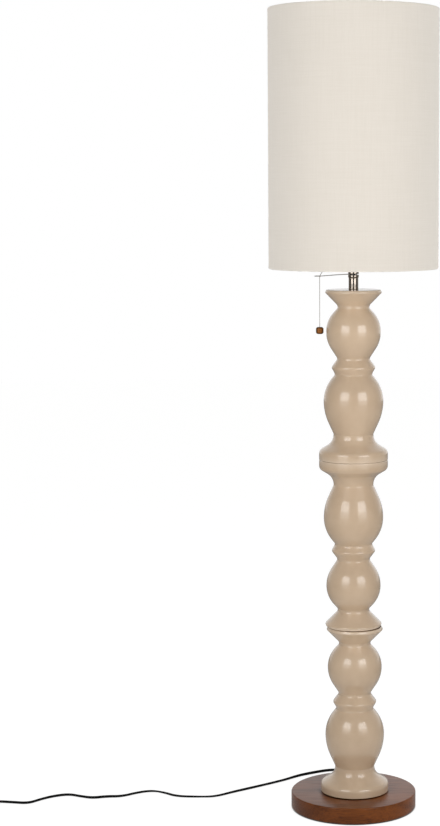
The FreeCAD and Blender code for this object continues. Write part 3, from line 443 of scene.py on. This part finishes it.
glaze = {"one": (0.560, 0.412, 0.280, 1), "two": (0.635, 0.480, 0.335, 1), "cloud": 16, "speck": 90,
         "thin": (0.72, 0.58, 0.44, 1),        # over the clay's edges
         "shade": (0.06, 0.018, 0.002, 1),        # painted shade where the foot sits on the disc
         "throwing": 900, "throwingHeight": 0.07, "strength": 0.12, "distance": 0.0012}


def glazeFinish():
    material, tree, shader, place = startFinish("beigeGlaze", {
        "Roughness": 0.24, "IOR": 1.5, "Coat Weight": 0.7, "Coat Roughness": 0.06, "Coat IOR": 1.5})
    tones = placeGroup(tree, softMottle, place, {"Colour One": glaze["one"], "Colour Two": glaze["two"],
                                                 "Scale": glaze["cloud"], "Speck": glaze["speck"]})
    colour = addColourMix(tree, addMark(tree, "glazeBreak"), tones["Color"], glaze["thin"])
    tree.links.new(addShade(tree, shader, colour, glaze["shade"]), shader.inputs["Base Color"])
    rings = addMath(tree, "SINE", addMath(tree, "MULTIPLY", addSplit(tree, place)["Z"], glaze["throwing"]))
    height = addMath(tree, "MULTIPLY_ADD", rings, glaze["throwingHeight"], tones["Height"])
    addBump(tree, shader, height, glaze["strength"], glaze["distance"])
    return material


def brushedMetal(name, one, two, roughness, stretch, spread=0.12):
    material, tree, shader, place = startFinish(name, {"Metallic": 1.0, "Roughness": roughness})
    values = {"Colour One": one, "Colour Two": two, "Scale": 1, "Speck": 6}
    lines = placeGroup(tree, softMottle, addStretch(tree, place, stretch), values)
    tree.links.new(lines["Color"], shader.inputs["Base Color"])
    rough = addMath(tree, "MULTIPLY_ADD", lines["Height"], spread, roughness - spread / 2)
    tree.links.new(rough, shader.inputs["Roughness"])
    return material


sideToSideReach = (-0.07, 0.1)        # metres left and right of the rod, between which the disc's tone changes
finishes = {
    "glaze": glazeFinish(),
    "walnut": woodFinish("satinWalnut", (0.200, 0.052, 0.006, 1), (0.090, 0.020, 0.001, 1), 9, 420,
                         {"Specular IOR Level": 0.42, "Specular Tint": (1, 0.84, 0.76, 1)}, 0.25,
                         tones=((0.82, 0.84, 1.0, 1), (1.13, 1.17, 1.25, 1))),
    # its rim value paints shade on the bead towards its silhouette
    "beadWood": woodFinish("beadWood", (0.400, 0.150, 0.030, 1), (0.150, 0.046, 0.006, 1), 60, 2600,
                           {"Specular IOR Level": 0.1, "Coat Weight": 0.15, "Coat Roughness": 0.1}, 0.2,
                           rim=0.72),
    "linen": linenFinish("creamLinen", (0.808, 0.764, 0.704, 1), (0.782, 0.738, 0.675, 1), 0.166, 0.08),
    "liner": mottledFinish("linerSheet", (0.80, 0.77, 0.70, 1), (0.84, 0.81, 0.75, 1), 12, 300,
                           {"Roughness": 0.55, "Specular IOR Level": 0.3}),
    "nickel": brushedMetal("darkNickel", (0.31, 0.265, 0.225, 1), (0.37, 0.32, 0.275, 1), 0.14,
                           (400, 400, 20)),
    "wire": brushedMetal("steelWire", (0.60, 0.59, 0.58, 1), (0.72, 0.71, 0.70, 1), 0.28, (300, 300, 300)),
    "zinc": brushedMetal("zincSteel", (0.52, 0.52, 0.50, 1), (0.63, 0.63, 0.61, 1), 0.38, (300, 300, 40)),
    "brass": brushedMetal("plainBrass", (0.62, 0.45, 0.18, 1), (0.72, 0.54, 0.26, 1), 0.3, (200, 200, 400)),
    "pins": brushedMetal("platedPins", (0.70, 0.66, 0.56, 1), (0.78, 0.74, 0.64, 1), 0.22, (600, 600, 600)),
    "lampCap": brushedMetal("lampCapMetal", (0.66, 0.66, 0.65, 1), (0.76, 0.76, 0.75, 1), 0.32,
                            (200, 200, 500)),
    "whiteWire": mottledFinish("powderedWire", (0.74, 0.74, 0.72, 1), (0.80, 0.80, 0.78, 1), 60, 1500,
                               {"Roughness": 0.45}, 0.3),
    "iron": mottledFinish("rawIron", (0.035, 0.034, 0.033, 1), (0.07, 0.066, 0.062, 1), 50, 900,
                          {"Roughness": 0.75, "Metallic": 0.6}, 0.5, 0.0005),
    "felt": mottledFinish("darkFelt", (0.018, 0.016, 0.015, 1), (0.035, 0.032, 0.030, 1), 90, 2500,
                          {"Roughness": 0.97, "Sheen Weight": 0.3, "Specular IOR Level": 0.1}, 0.6, 0.0005),
    "seal": mottledFinish("sealRubber", (0.080, 0.038, 0.016, 1), (0.110, 0.052, 0.022, 1), 80, 1200,
                          {"Roughness": 0.8, "Specular IOR Level": 0.0}),
    "paleSeal": mottledFinish("paleSeal", (0.46, 0.31, 0.19, 1), (0.52, 0.36, 0.23, 1), 80, 1200,
                              {"Roughness": 0.8, "Specular IOR Level": 0.0}),
    "phenolic": mottledFinish("blackPhenolic", (0.012, 0.012, 0.012, 1), (0.022, 0.021, 0.020, 1), 70, 1200,
                              {"Roughness": 0.32}, 0.15),
    "porcelain": mottledFinish("whitePorcelain", (0.74, 0.72, 0.68, 1), (0.80, 0.79, 0.75, 1), 60, 700,
                               {"Roughness": 0.35}, 0.15),
    "opal": mottledFinish("opalGlass", (0.86, 0.85, 0.82, 1), (0.90, 0.89, 0.87, 1), 25, 500,
                          {"Roughness": 0.12, "Coat Weight": 0.6, "Coat Roughness": 0.06}, 0.05),
    "pvc": mottledFinish("blackPvc", (0.002, 0.002, 0.002, 1), (0.005, 0.005, 0.005, 1), 90, 1500,
                         {"Roughness": 0.5, "Specular IOR Level": 0.1}, 0.25),
    "rubber": mottledFinish("blackRubber", (0.012, 0.012, 0.012, 1), (0.022, 0.022, 0.021, 1), 80, 1500,
                            {"Roughness": 0.6, "Specular IOR Level": 0.35}, 0.3),
    "cord": mottledFinish("twistedCord", (0.33, 0.31, 0.29, 1), (0.46, 0.44, 0.41, 1), 900, 3000,
                          {"Roughness": 0.8, "Sheen Weight": 0.2}, 0.5, 0.0002),
}
print("finishes", len(finishes))


# Drawing profiles with a pen, and spinning them

def penStart(bm, radius, height):
    return bm.verts.new((radius * mm, 0, height * mm))


def penLine(bm, tip, radius, height):
    tip = bmesh.ops.extrude_vert_indiv(bm, verts=[tip])["verts"][0]
    tip.co = (radius * mm, 0, height * mm)
    return tip


def penLines(bm, tip, corners):
    for radius, height in corners:
        tip = penLine(bm, tip, radius, height)
    return tip


def penArc(bm, tip, radius, height, degrees, steps):        # turns about the given centre
    swept = bmesh.ops.spin(bm, geom=[tip], cent=(radius * mm, 0, height * mm), axis=(0, 1, 0), dvec=(0, 0, 0),
                           angle=math.radians(degrees), steps=steps, use_merge=False, use_duplicate=False)
    return [part for part in swept["geom_last"] if isinstance(part, bmesh.types.BMVert)][0]


def penClose(bm, tip, first):
    bm.edges.new((tip, first))


def spinRound(bm, steps):
    bmesh.ops.spin(bm, geom=bm.verts[:] + bm.edges[:], cent=(0, 0, 0), axis=(0, 0, 1), dvec=(0, 0, 0),
                   angle=2 * math.pi, steps=steps, use_merge=True, use_duplicate=False)
    bmesh.ops.remove_doubles(bm, verts=bm.verts, dist=weld)
    bmesh.ops.recalc_face_normals(bm, faces=bm.faces)


smoothTurned, smoothWire = 35, 60        # degrees up to which an edge looks smooth


def makePiece(bm, name, finish, body, replaced, sharp=smoothTurned):
    for face in bm.faces:
        face.smooth = True
    mesh = bpy.data.meshes.new(name)
    bm.to_mesh(mesh)
    bm.free()
    mesh.set_sharp_from_angle(angle=math.radians(sharp))
    mesh.materials.append(finishes[finish])
    piece = bpy.data.objects.new(name, mesh)
    scene.collection.objects.link(piece)
    if body:
        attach(piece, body)
    if replaced:
        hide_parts(*replaced)
    return piece


def meshFromCurve(curve):
    bpy.context.view_layer.update()
    depsgraph = bpy.context.evaluated_depsgraph_get()
    return bpy.data.meshes.new_from_object(curve.evaluated_get(depsgraph), depsgraph=depsgraph)


def sweepRoute(route):        # the section swept along the route, closed, for makePiece
    mesh = meshFromCurve(route)
    bpy.data.objects.remove(route)
    bm = bmesh.new()
    bm.from_mesh(mesh)
    bpy.data.meshes.remove(mesh)
    bmesh.ops.remove_doubles(bm, verts=bm.verts, dist=weld)
    bmesh.ops.recalc_face_normals(bm, faces=bm.faces)
    return bm


def drawRoute(name, points, turns=None):
    data = bpy.data.curves.new(name, "CURVE")
    data.dimensions = "3D"
    data.twist_mode = "Z_UP"
    data.resolution_u = 8
    spline = data.splines.new("NURBS")
    spline.points.add(len(points) - 1)
    for point, place in zip(spline.points, points):
        point.co = (*place, 1)
    for point, turn in zip(spline.points, turns or ()):
        point.tilt = math.radians(turn)
    spline.order_u = 3
    spline.use_endpoint_u = True
    route = bpy.data.objects.new(name, data)
    scene.collection.objects.link(route)
    return route


def routePoints(route):
    line = meshFromCurve(route)
    places = [vertex.co.copy() for vertex in line.vertices]
    bpy.data.meshes.remove(line)
    return places


# Mains lead: flat twin flex from the boot over the floor to its coil and plug

lead = {"width": 6.2, "thick": 3.9, "lie": 2.05, "layer": 4.0, "pitch": 6.3, "meanRadius": 28.5,
        "turnsEachWay": 2.25, "climbTurn": 0.5, "endTurn": 0.25, "startTurn": 0.25, "climbBulge": 1.8,
        "pointsPerTurn": 12, "splineSlack": 1.035, "sideSweep": 140, "sideSteps": 8}

# the last value turns the flat flex about its own line, from lying flat towards standing on its edge
leadStart = [(0, 149, 9, 0), (0, 173, 8.3, 0), (-3, 200, 3.3, 20)]
leadFloor = [
    (-17, 229, 50), (-47, 236, 75), (-84, 216, 80), (-116, 194, 70), (-146, 162, 50), (-180, 134, 45),
    (-216, 105, 55), (-250, 79, 45), (-283, 50, 30), (-318, 50, 10), (-362, 54, 0), (-389, 78, 10),
    (-415, 90, 30), (-444, 77, 40), (-473, 51, 45), (-505, 50, 60), (-531, 40, 60), (-556, 50, 50),
    (-583, 65, 50), (-612, 53, 55), (-635, 33, 50), (-657, 5, 55), (-690, 12, 55), (-735, 19, 50)]
leadRoute = leadStart + [(across, along, lead["lie"], turn) for across, along, turn in leadFloor]
coilEntry = (-775, 17)


def coilPlace(turn):
    inwards, climb = lead["turnsEachWay"], lead["climbTurn"]
    outer = lead["meanRadius"] + lead["pitch"] * inwards / 2
    if turn <= inwards:
        radius, rise = outer - lead["pitch"] * turn, 0
    elif turn <= inwards + climb:
        share = (turn - inwards) / climb
        radius = outer - lead["pitch"] * inwards - lead["climbBulge"] * math.sin(math.pi * share) ** 2
        rise = (1 - math.cos(math.pi * share)) / 2
    else:
        radius, rise = outer - lead["pitch"] * (2 * inwards + climb - turn), 1
    radius *= lead["splineSlack"]        # the spline runs a little inside its points
    angle = 2 * math.pi * (lead["startTurn"] + turn)
    return (coilEntry[0] + radius * math.cos(angle), coilEntry[1] - outer + radius * math.sin(angle),
            lead["lie"] + lead["layer"] * rise)


def tailPlaces():        # from the coil's top turn down into the plug
    low, high = boxOf("plug_body")
    entry = Vector(((low.x + high.x) / 2 + 1.2, high.y, (low.z + high.z) / 2))
    return [(-813.2, -34, 6.0), (-811.8, -50, 6.4), (entry.x, entry.y - 1, entry.z)]        # 1 mm inside it


def twinSection():        # two round sides with a groove between them
    half, sweep, steps = lead["thick"] / 2, lead["sideSweep"], lead["sideSteps"]
    centre = lead["width"] / 2 - half
    ring = []
    for side, middle in ((1, 0), (-1, 180)):
        for step in range(steps + 1):
            angle = math.radians(middle - sweep / 2 + sweep * step / steps)
            ring.append((side * centre + half * math.cos(angle), half * math.sin(angle)))
    data = bpy.data.curves.new("twinSection", "CURVE")
    data.dimensions = "2D"
    spline = data.splines.new("POLY")
    spline.points.add(len(ring) - 1)
    for point, (across, up) in zip(spline.points, ring):
        point.co = (across * mm, up * mm, 0, 1)
    spline.use_cyclic_u = True
    section = bpy.data.objects.new("twinSection", data)
    scene.collection.objects.link(section)
    return section


def makeLead():
    steps = lead["pointsPerTurn"]
    lastTurn = 2 * lead["turnsEachWay"] + lead["climbTurn"] + lead["endTurn"]
    coil = [coilPlace(number / steps) for number in range(round(lastTurn * steps) + 1)]
    places, turns = [], []
    for across, along, up, turn in leadRoute:
        raised = up + (lead["width"] - lead["thick"]) / 2 * math.sin(math.radians(turn))
        places.append((across * mm, along * mm, raised * mm))
        turns.append(turn)
    places += [tuple(value * mm for value in place) for place in coil + tailPlaces()]
    turns += [0] * (len(places) - len(turns))
    route = drawRoute("leadRoute", places, turns)
    path = routePoints(route)
    section = twinSection()
    route.data.bevel_mode = "OBJECT"
    route.data.bevel_object = section
    route.data.use_fill_caps = True
    bm = sweepRoute(route)
    bpy.data.objects.remove(section)
    replaced = ["mains_lead", "lead_coil", "lead_tail"]
    piece = makePiece(bm, "mainsFlex", "pvc", "lamp", replaced, smoothWire)


makeLead()


# Pull cord, wire arm and bead

pull = {"cordRadius": 0.6, "mouthOffset": 27, "mouthHeight": 63.8, "hidden": 12.6, "bend": 5, "overlap": 0.3,
        "straightTop": 24, "straightEnd": 34, "intoKnot": 0.5}
knot = {"sink": 1.5, "cordRadius": 0.52, "reach": 0.55, "swing": 0.3, "rise": 0.85, "steps": 18}
bead = {"rim": 4.2, "rimSteps": 10, "bore": 0.9, "recess": 1.8, "recessDepth": 3.2, "chamfer": 0.4,
        "around": 48}
arm = {"wireRadius": 0.8, "splineSlack": 1.03,
       # radius, first angle, turn and steps of the eye and of the clamp loop
       "eye": (5.9, 18, 324, 10), "loop": (6.1, 200, 318, 11),
       "bends": ((-52, 0.28), (-38, 0.59), (-24, 0.86))}        # across, and share of the rise


def pullPlaces():        # eye, pivot under it and knot, from the nodes' boxes
    low, high = boxOf("pull_cord_eye")
    dropLow, _ = boxOf("pull_cord_drop")
    return (low.x + high.x) / 2, high.z, low.z, dropLow.z


def roundWire(name, places, radius, finish, replaced, body="lamp"):
    route = drawRoute(name, [tuple(value * mm for value in place) for place in places])
    path = routePoints(route)
    route.data.twist_mode = "MINIMUM"
    route.data.bevel_depth = radius * mm
    route.data.bevel_resolution = 4
    route.data.use_fill_caps = True
    return makePiece(sweepRoute(route), name, finish, body, replaced, smoothWire), path


def makePullCord():
    eyeX, eyeZ, pivotZ, knotTop = pullPlaces()
    eye = Vector((eyeX, 0, eyeZ))
    mouth = Vector((-pull["mouthOffset"], 0, eyeZ + pull["mouthHeight"]))
    slope = (eye - mouth).normalized()
    inside = mouth - slope * pull["hidden"]
    bend, overlap = pull["bend"], pull["overlap"]
    upper = [tuple(inside), tuple(mouth), tuple(eye - slope * bend), tuple(eye), (eyeX, 0, eyeZ - bend),
             (eyeX, 0, pivotZ - overlap)]
    cord, path = roundWire("pullCordUpper", upper, pull["cordRadius"], "cord",
                           ["pull_cord_inner", "pull_cord_eye"], body=None)
    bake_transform(cord)
    top = pivotZ + overlap
    heights = (top, top - pull["straightTop"], knotTop + pull["straightEnd"], knotTop - pull["intoKnot"])
    lower = [(eyeX, 0, height) for height in heights]
    drop, dropPath = roundWire("pullCordDrop", lower, pull["cordRadius"], "cord",
                               ["pull_cord_drop"], body="cord_bead")
    knotPiece = makeKnot(eyeX, knotTop - knot["sink"])
    beadPiece = makeBead(eyeX)


def makeKnot(acrossX, middle):
    places = []
    for step in range(knot["steps"] + 1):
        angle = 2 * math.pi * step / knot["steps"]
        reach = knot["reach"] + knot["swing"] * math.cos(3 * angle)
        places.append((acrossX + reach * math.cos(2 * angle), reach * math.sin(2 * angle),
                       middle + knot["rise"] * math.sin(3 * angle)))
    piece, _ = roundWire("beadKnot", places, knot["cordRadius"], "cord", ["bead_knot"],
                         body="cord_bead")
    return piece


def makeBead(acrossX):
    low, high = boxOf("pull_bead")
    bottom, top, outer = low.z, high.z, (high.x - low.x) / 2
    rim, recess, chamfer, bore = bead["rim"], bead["recess"], bead["chamfer"], bead["bore"]
    recessTop = bottom + bead["recessDepth"]
    bm = bmesh.new()
    first = penStart(bm, bore, recessTop)
    tip = penLines(bm, first, [(recess, recessTop), (recess, bottom + chamfer), (recess + chamfer, bottom),
                               (outer - rim, bottom)])
    tip = penArc(bm, tip, outer - rim, bottom + rim, -90, bead["rimSteps"])
    tip = penLines(bm, tip, [(outer, (bottom + top) / 2), (outer, top - rim)])
    tip = penArc(bm, tip, outer - rim, top - rim, -90, bead["rimSteps"])
    tip = penLines(bm, tip, [(bore + chamfer, top), (bore, top - chamfer)])
    penClose(bm, tip, first)
    spinRound(bm, bead["around"])
    bmesh.ops.translate(bm, verts=bm.verts, vec=(acrossX * mm, 0, 0))
    return makePiece(bm, "pullBead", "beadWood", "cord_bead", ["pull_bead"])


def wireRing(middleX, height, radius, start, turn, steps):
    reach = arm["splineSlack"] * radius
    angles = [math.radians(start + turn * step / steps) for step in range(steps + 1)]
    return [(middleX + reach * math.cos(angle), reach * math.sin(angle), height) for angle in angles]


def makeArm():
    low, high = boxOf("guide_arm")
    wire = arm["wireRadius"]
    eyeZ, loopZ = low.z + wire, high.z - wire
    eyeX = low.x + arm["eye"][0] + wire
    rise = loopZ - eyeZ
    places = wireRing(eyeX, eyeZ, *arm["eye"])
    places.append((eyeX + 7.5, -0.3, eyeZ + 0.05 * rise))        # closes the eye back on the arm
    places += [(across, 0, eyeZ + share * rise) for across, share in arm["bends"]]
    places += [(-13, 0, loopZ), (-7.8, -0.4, loopZ)]
    places += wireRing(0, loopZ, *arm["loop"])
    roundWire("guideArm", places, wire, "wire", ["guide_arm"])


makePullCord()
makeArm()
print("pull cord and arm")


# Ceramic balusters

baluster = {
    "wall": 6, "bore": 8, "lid": 6, "lidInner": 41, "boreEdge": 0.6, "around": 128, "kneeShare": 0.3,
    "footEdge": 1.0, "footEdgeEnd": 1.7, "footEdgeSteps": 5, "hollowEdge": 0.8,
    "flareTop": 53.5, "lipRound": 2, "lipSteps": 6,
    "arcDegrees": 6, "arcLength": 2.5, "arcLeast": 3,        # widest step of an arc, and fewest steps
    "lipBreak": (2.4, 3.2), "footBreak": (0.8, 2.0), "breakDepth": 4,        # where the glaze draws thin
    "seatHeight": 1.2, "seatBase": 0.25, "seatFront": 0.95,        # the foot's painted shade, all round and in front
    # radius and height of each narrow or wide place, then the shares of its wave's two arcs
    "foot": (68, 12),
    "ankle": (39.4, 50, 0.2655, 0.6575),
    "belly": (58.8, 116, 0.0328, 0.8527),
    "waist": (37.2, 168.5, 0.9383, 0.0335),
    "bead": (42.8, 182.2, 0.4602, 0.2556),
    "collar": (32.5, 200, 0.2435, 0.3410),
    "bulb": (53.9, 253, 0.0655, 0.8254),
    "throat": (31.5, 301.2, 0.8722, 0.0952),
    "flare": (55.8, 330.5, 0.2683, 0.1006),
}
waves = ("foot", "ankle", "belly", "waist", "bead", "collar", "bulb", "throat", "flare")


def arcSteps(arc, slope):
    byTurn = round(math.degrees(slope) / baluster["arcDegrees"])
    return max(baluster["arcLeast"], byTurn, round(arc * slope / baluster["arcLength"]))


def penWave(bm, tip, start, end):        # arc, straight flank and arc, upright at both ends
    startRadius, startHeight = start[:2]
    endRadius, endHeight, startShare, endShare = end
    rise = endHeight - startHeight
    swell = abs(endRadius - startRadius)
    arcSum = (rise ** 2 + swell ** 2) / (2 * swell)
    startArc, endArc = startShare * arcSum, endShare * arcSum
    total = startArc + endArc
    slope = math.asin(total / math.hypot(rise, total - swell)) - math.atan2(total - swell, rise)
    side = 1 if endRadius > startRadius else -1        # 1 swells out, -1 draws in
    degrees = math.degrees(slope)
    steps = arcSteps(startArc, slope)
    tip = penArc(bm, tip, startRadius + side * startArc, startHeight, side * degrees, steps)
    meetRadius = endRadius - side * endArc * (1 - math.cos(slope))
    tip = penLine(bm, tip, meetRadius, endHeight - endArc * math.sin(slope))
    steps = arcSteps(endArc, slope)
    return penArc(bm, tip, endRadius - side * endArc, endHeight, -side * degrees, steps)


def frontShare(place):        # painted shade: the foot shades the disc in front of it, where the white sweep doesn't reach
    around = math.hypot(place.x, place.y)
    if not around:
        return 0
    return min(1, max(0, baluster["seatBase"] - baluster["seatFront"] * place.y / around))


def markBreaks(bm, height, seated):        # thin glaze at lip and foot edge, and the painted shade of a seated foot
    thin = bm.verts.layers.float.new("glazeBreak")
    seat = bm.verts.layers.float.new("seatShade")
    lipDepth, lipSpread = baluster["lipBreak"]
    footLevel, footSpread = baluster["footBreak"]
    flareRim = baluster["flareTop"] - baluster["breakDepth"]
    footRim = baluster["foot"][0] - baluster["breakDepth"]
    for vert in bm.verts:
        radius, level = math.hypot(vert.co.x, vert.co.y) / mm, vert.co.z / mm
        lip = max(0, 1 - abs(level - height + lipDepth) / lipSpread) * (radius > flareRim)
        foot = max(0, 1 - abs(level - footLevel) / footSpread) * (radius > footRim)
        vert[seat] = seated * (level < baluster["seatHeight"]) * frontShare(vert.co)
        vert[thin] = max(lip, foot * (not seated))


def makeBaluster(node, upsideDown):
    low, high = boxOf(node)
    height, wall, edge = high.z - low.z, baluster["wall"], baluster["footEdge"]
    footRadius, footHeight = baluster["foot"]
    inner = footRadius - wall
    bm = bmesh.new()
    first = penStart(bm, inner, baluster["hollowEdge"])
    tip = penLines(bm, first, [(inner + baluster["hollowEdge"], 0), (footRadius - edge, 0)])
    tip = penArc(bm, tip, footRadius - edge, edge, -90, baluster["footEdgeSteps"])
    tip = penLines(bm, tip, [(footRadius, baluster["footEdgeEnd"]), baluster["foot"]])
    for start, end in zip(waves, waves[1:]):
        tip = penWave(bm, tip, baluster[start], baluster[end])
    lip, flareTop = baluster["lipRound"], baluster["flareTop"]
    tip = penLine(bm, tip, flareTop + 0.5 * lip, height - lip)
    tip = penArc(bm, tip, flareTop - 0.5 * lip, height - lip, -90, baluster["lipSteps"])
    bore, boreEdge, lidBottom = baluster["bore"], baluster["boreEdge"], height - baluster["lid"]
    tip = penLines(bm, tip, [(bore + boreEdge, height), (bore, height - boreEdge), (bore, lidBottom),
                             (baluster["lidInner"], lidBottom)])
    for place in ("throat", "bulb", "collar", "waist", "belly", "ankle"):
        tip = penLine(bm, tip, baluster[place][0] - wall, baluster[place][1])
    ankleRadius, ankleHeight = baluster["ankle"][:2]
    knee = footHeight + baluster["kneeShare"] * (ankleHeight - footHeight)
    tip = penLines(bm, tip, [(ankleRadius, knee), (inner, wall)])
    penClose(bm, tip, first)
    spinRound(bm, baluster["around"])
    markBreaks(bm, height, node == "segment_bottom")
    if upsideDown:
        bmesh.ops.rotate(bm, verts=bm.verts, cent=(0, 0, 0), matrix=Matrix.Rotation(math.pi, 3, "X"))
        bmesh.ops.translate(bm, verts=bm.verts, vec=(0, 0, height * mm))
    shift = (low.x + high.x) / 2
    bmesh.ops.translate(bm, verts=bm.verts, vec=(shift * mm, 0, low.z * mm))
    makePiece(bm, "baluster" + node.split("_")[1].capitalize(), "glaze", "lamp", [node])


for node, upsideDown in (("segment_bottom", False), ("segment_middle", True), ("segment_top", False)):
    makeBaluster(node, upsideDown)
print("balusters")


# Metal neck

neck = {"bore": 5.3, "tubeEdge": 0.4, "tubeSteps": 4, "collarEdge": 1.4, "collarSteps": 8, "around": 72}


def makeRing(node, name, edge, steps):
    low, high = boxOf(node)
    bore, outer = neck["bore"], high.x
    bm = bmesh.new()
    first = penStart(bm, bore, low.z)
    tip = penLine(bm, first, outer - edge, low.z)
    tip = penArc(bm, tip, outer - edge, low.z + edge, -90, steps)
    tip = penLine(bm, tip, outer, high.z - edge)
    tip = penArc(bm, tip, outer - edge, high.z - edge, -90, steps)
    tip = penLine(bm, tip, bore, high.z)
    penClose(bm, tip, first)
    spinRound(bm, neck["around"])
    makePiece(bm, name, "nickel", "lamp", [node])


makeRing("neck_tube", "neckTube", neck["tubeEdge"], neck["tubeSteps"])
makeRing("neck_collar", "neckCollar", neck["collarEdge"], neck["collarSteps"])


# Walnut disc

plate = {"edge": 2.2, "edgeSteps": 8, "recess": 95, "web": 7.5, "bore": 5.3, "around": 160,
         "seatStart": 68.2, "seatEnd": 74}        # radii between which the foot's painted contact shade fades


def makePlate():
    low, high = boxOf("base_plate")
    edge, outer, recess = plate["edge"], high.x, plate["recess"]
    recessTop = high.z - plate["web"]
    bm = bmesh.new()
    first = penStart(bm, plate["bore"], recessTop)
    tip = penLines(bm, first, [(recess, recessTop), (recess, low.z), (outer - edge, low.z)])
    tip = penArc(bm, tip, outer - edge, low.z + edge, -90, plate["edgeSteps"])
    tip = penLine(bm, tip, outer, high.z - edge)
    tip = penArc(bm, tip, outer - edge, high.z - edge, -90, plate["edgeSteps"])
    tip = penLines(bm, tip, [(plate[key], high.z) for key in ("seatEnd", "seatStart", "bore")])
    penClose(bm, tip, first)
    spinRound(bm, plate["around"])
    seat = bm.verts.layers.float.new("seatShade")
    for vert in bm.verts:
        under = math.hypot(vert.co.x, vert.co.y) < plate["seatStart"] * mm + 10 * weld
        vert[seat] = under * frontShare(vert.co)
    makePiece(bm, "walnutDisc", "walnut", "lamp", ["base_plate"])


makePlate()
print("neck and disc")


# Linen shade

shade = {"skin": 0.7, "liner": 0.7, "ringWire": 1.8, "slack": 0.1, "hem": 12, "around": 160,
         "draw": 0.2, "drawStart": 2, "drawEnd": 6, "panels": 12,        # linen drawn in between the rings
         "foldSteps": 12, "innerSteps": 10, "seamWidth": 12, "seamThick": 0.35, "seamSteps": 4}


def makeShade():
    low, high = boxOf("shade_fabric")
    outer, skin = high.x, shade["skin"]
    inside = outer - 2 * (skin + shade["ringWire"] + shade["slack"]) - shade["liner"]
    fold = (outer - inside) / 2
    middle = outer - fold
    bottom, top = low.z + fold, high.z - fold
    hemLow, hemHigh = low.z + shade["hem"], high.z - shade["hem"]
    drawn, start, end, panels = outer - shade["draw"], shade["drawStart"], shade["drawEnd"], shade["panels"]
    bm = bmesh.new()
    first = penStart(bm, inside, hemLow)
    tip = penLine(bm, first, inside, bottom)
    tip = penArc(bm, tip, middle, bottom, -180, shade["foldSteps"])
    tip = penLine(bm, tip, outer, bottom + start)
    for step in range(panels + 1):
        tip = penLine(bm, tip, drawn, bottom + end + (top - bottom - 2 * end) * step / panels)
    tip = penLines(bm, tip, [(outer, top - start), (outer, top)])
    tip = penArc(bm, tip, middle, top, -180, shade["foldSteps"])
    tip = penLines(bm, tip, [(inside, hemHigh), (inside + skin, hemHigh), (inside + skin, top)])
    tip = penArc(bm, tip, middle, top, 180, shade["innerSteps"])
    tip = penLine(bm, tip, outer - skin, bottom)
    tip = penArc(bm, tip, middle, bottom, 180, shade["innerSteps"])
    tip = penLine(bm, tip, inside + skin, hemLow)
    penClose(bm, tip, first)
    spinRound(bm, shade["around"])
    makePiece(bm, "linenShade", "linen", "lamp", ["shade_fabric"])
    makeSeam(drawn, bottom + end, top - end)


def makeSeam(inner, bottom, top):        # glued overlap of the linen at the back
    spread = shade["seamWidth"] / inner
    bm = bmesh.new()
    first = penStart(bm, inner, bottom)
    outer = inner + shade["seamThick"]
    tip = penLines(bm, first, [(outer, bottom), (outer, top), (inner, top)])
    penClose(bm, tip, first)
    bmesh.ops.spin(bm, geom=bm.verts[:] + bm.edges[:], cent=(0, 0, 0), axis=(0, 0, 1), dvec=(0, 0, 0),
                   angle=spread, steps=shade["seamSteps"], use_merge=False, use_duplicate=False)
    bmesh.ops.holes_fill(bm, edges=[edge for edge in bm.edges if len(edge.link_faces) < 2], sides=8)
    bmesh.ops.recalc_face_normals(bm, faces=bm.faces)
    turn = Matrix.Rotation(math.pi / 2 - spread / 2, 3, "Z")
    bmesh.ops.rotate(bm, verts=bm.verts, cent=(0, 0, 0), matrix=turn)
    makePiece(bm, "shadeSeam", "linen", "lamp", [])


makeShade()
print("shade")


# Finishes on the nodes that stay

kept = {
    "felt": ["base_felt"],
    "iron": ["base_weight"],
    "zinc": ["threaded_rod", "base_washer", "base_nut"],
    "seal": ["foot_washer", "washer_lower"],
    "paleSeal": ["washer_upper"],
    "nickel": ["holder_cap"],
    "phenolic": ["holder_switch", "holder_spout", "holder_sleeve", "lower_shade_ring", "upper_shade_ring"],
    "porcelain": ["holder_insert"],
    "brass": ["screw_shell", "centre_contact"],
    "lampCap": ["bulb_cap"],
    "opal": ["bulb_glass"],
    "whiteWire": ["shade_spider", "shade_top_ring"],
    "liner": ["shade_liner"],
    "rubber": ["lead_grommet"],
    "pvc": ["inner_flex", "plug_body"],
    "pins": ["plug_pins"],
}
for finish, names in kept.items():
    for name in names:
        mesh = nodes[name].data
        mesh.materials.clear()
        mesh.materials.append(finishes[finish])
print("kept nodes", sum(len(names) for names in kept.values()))
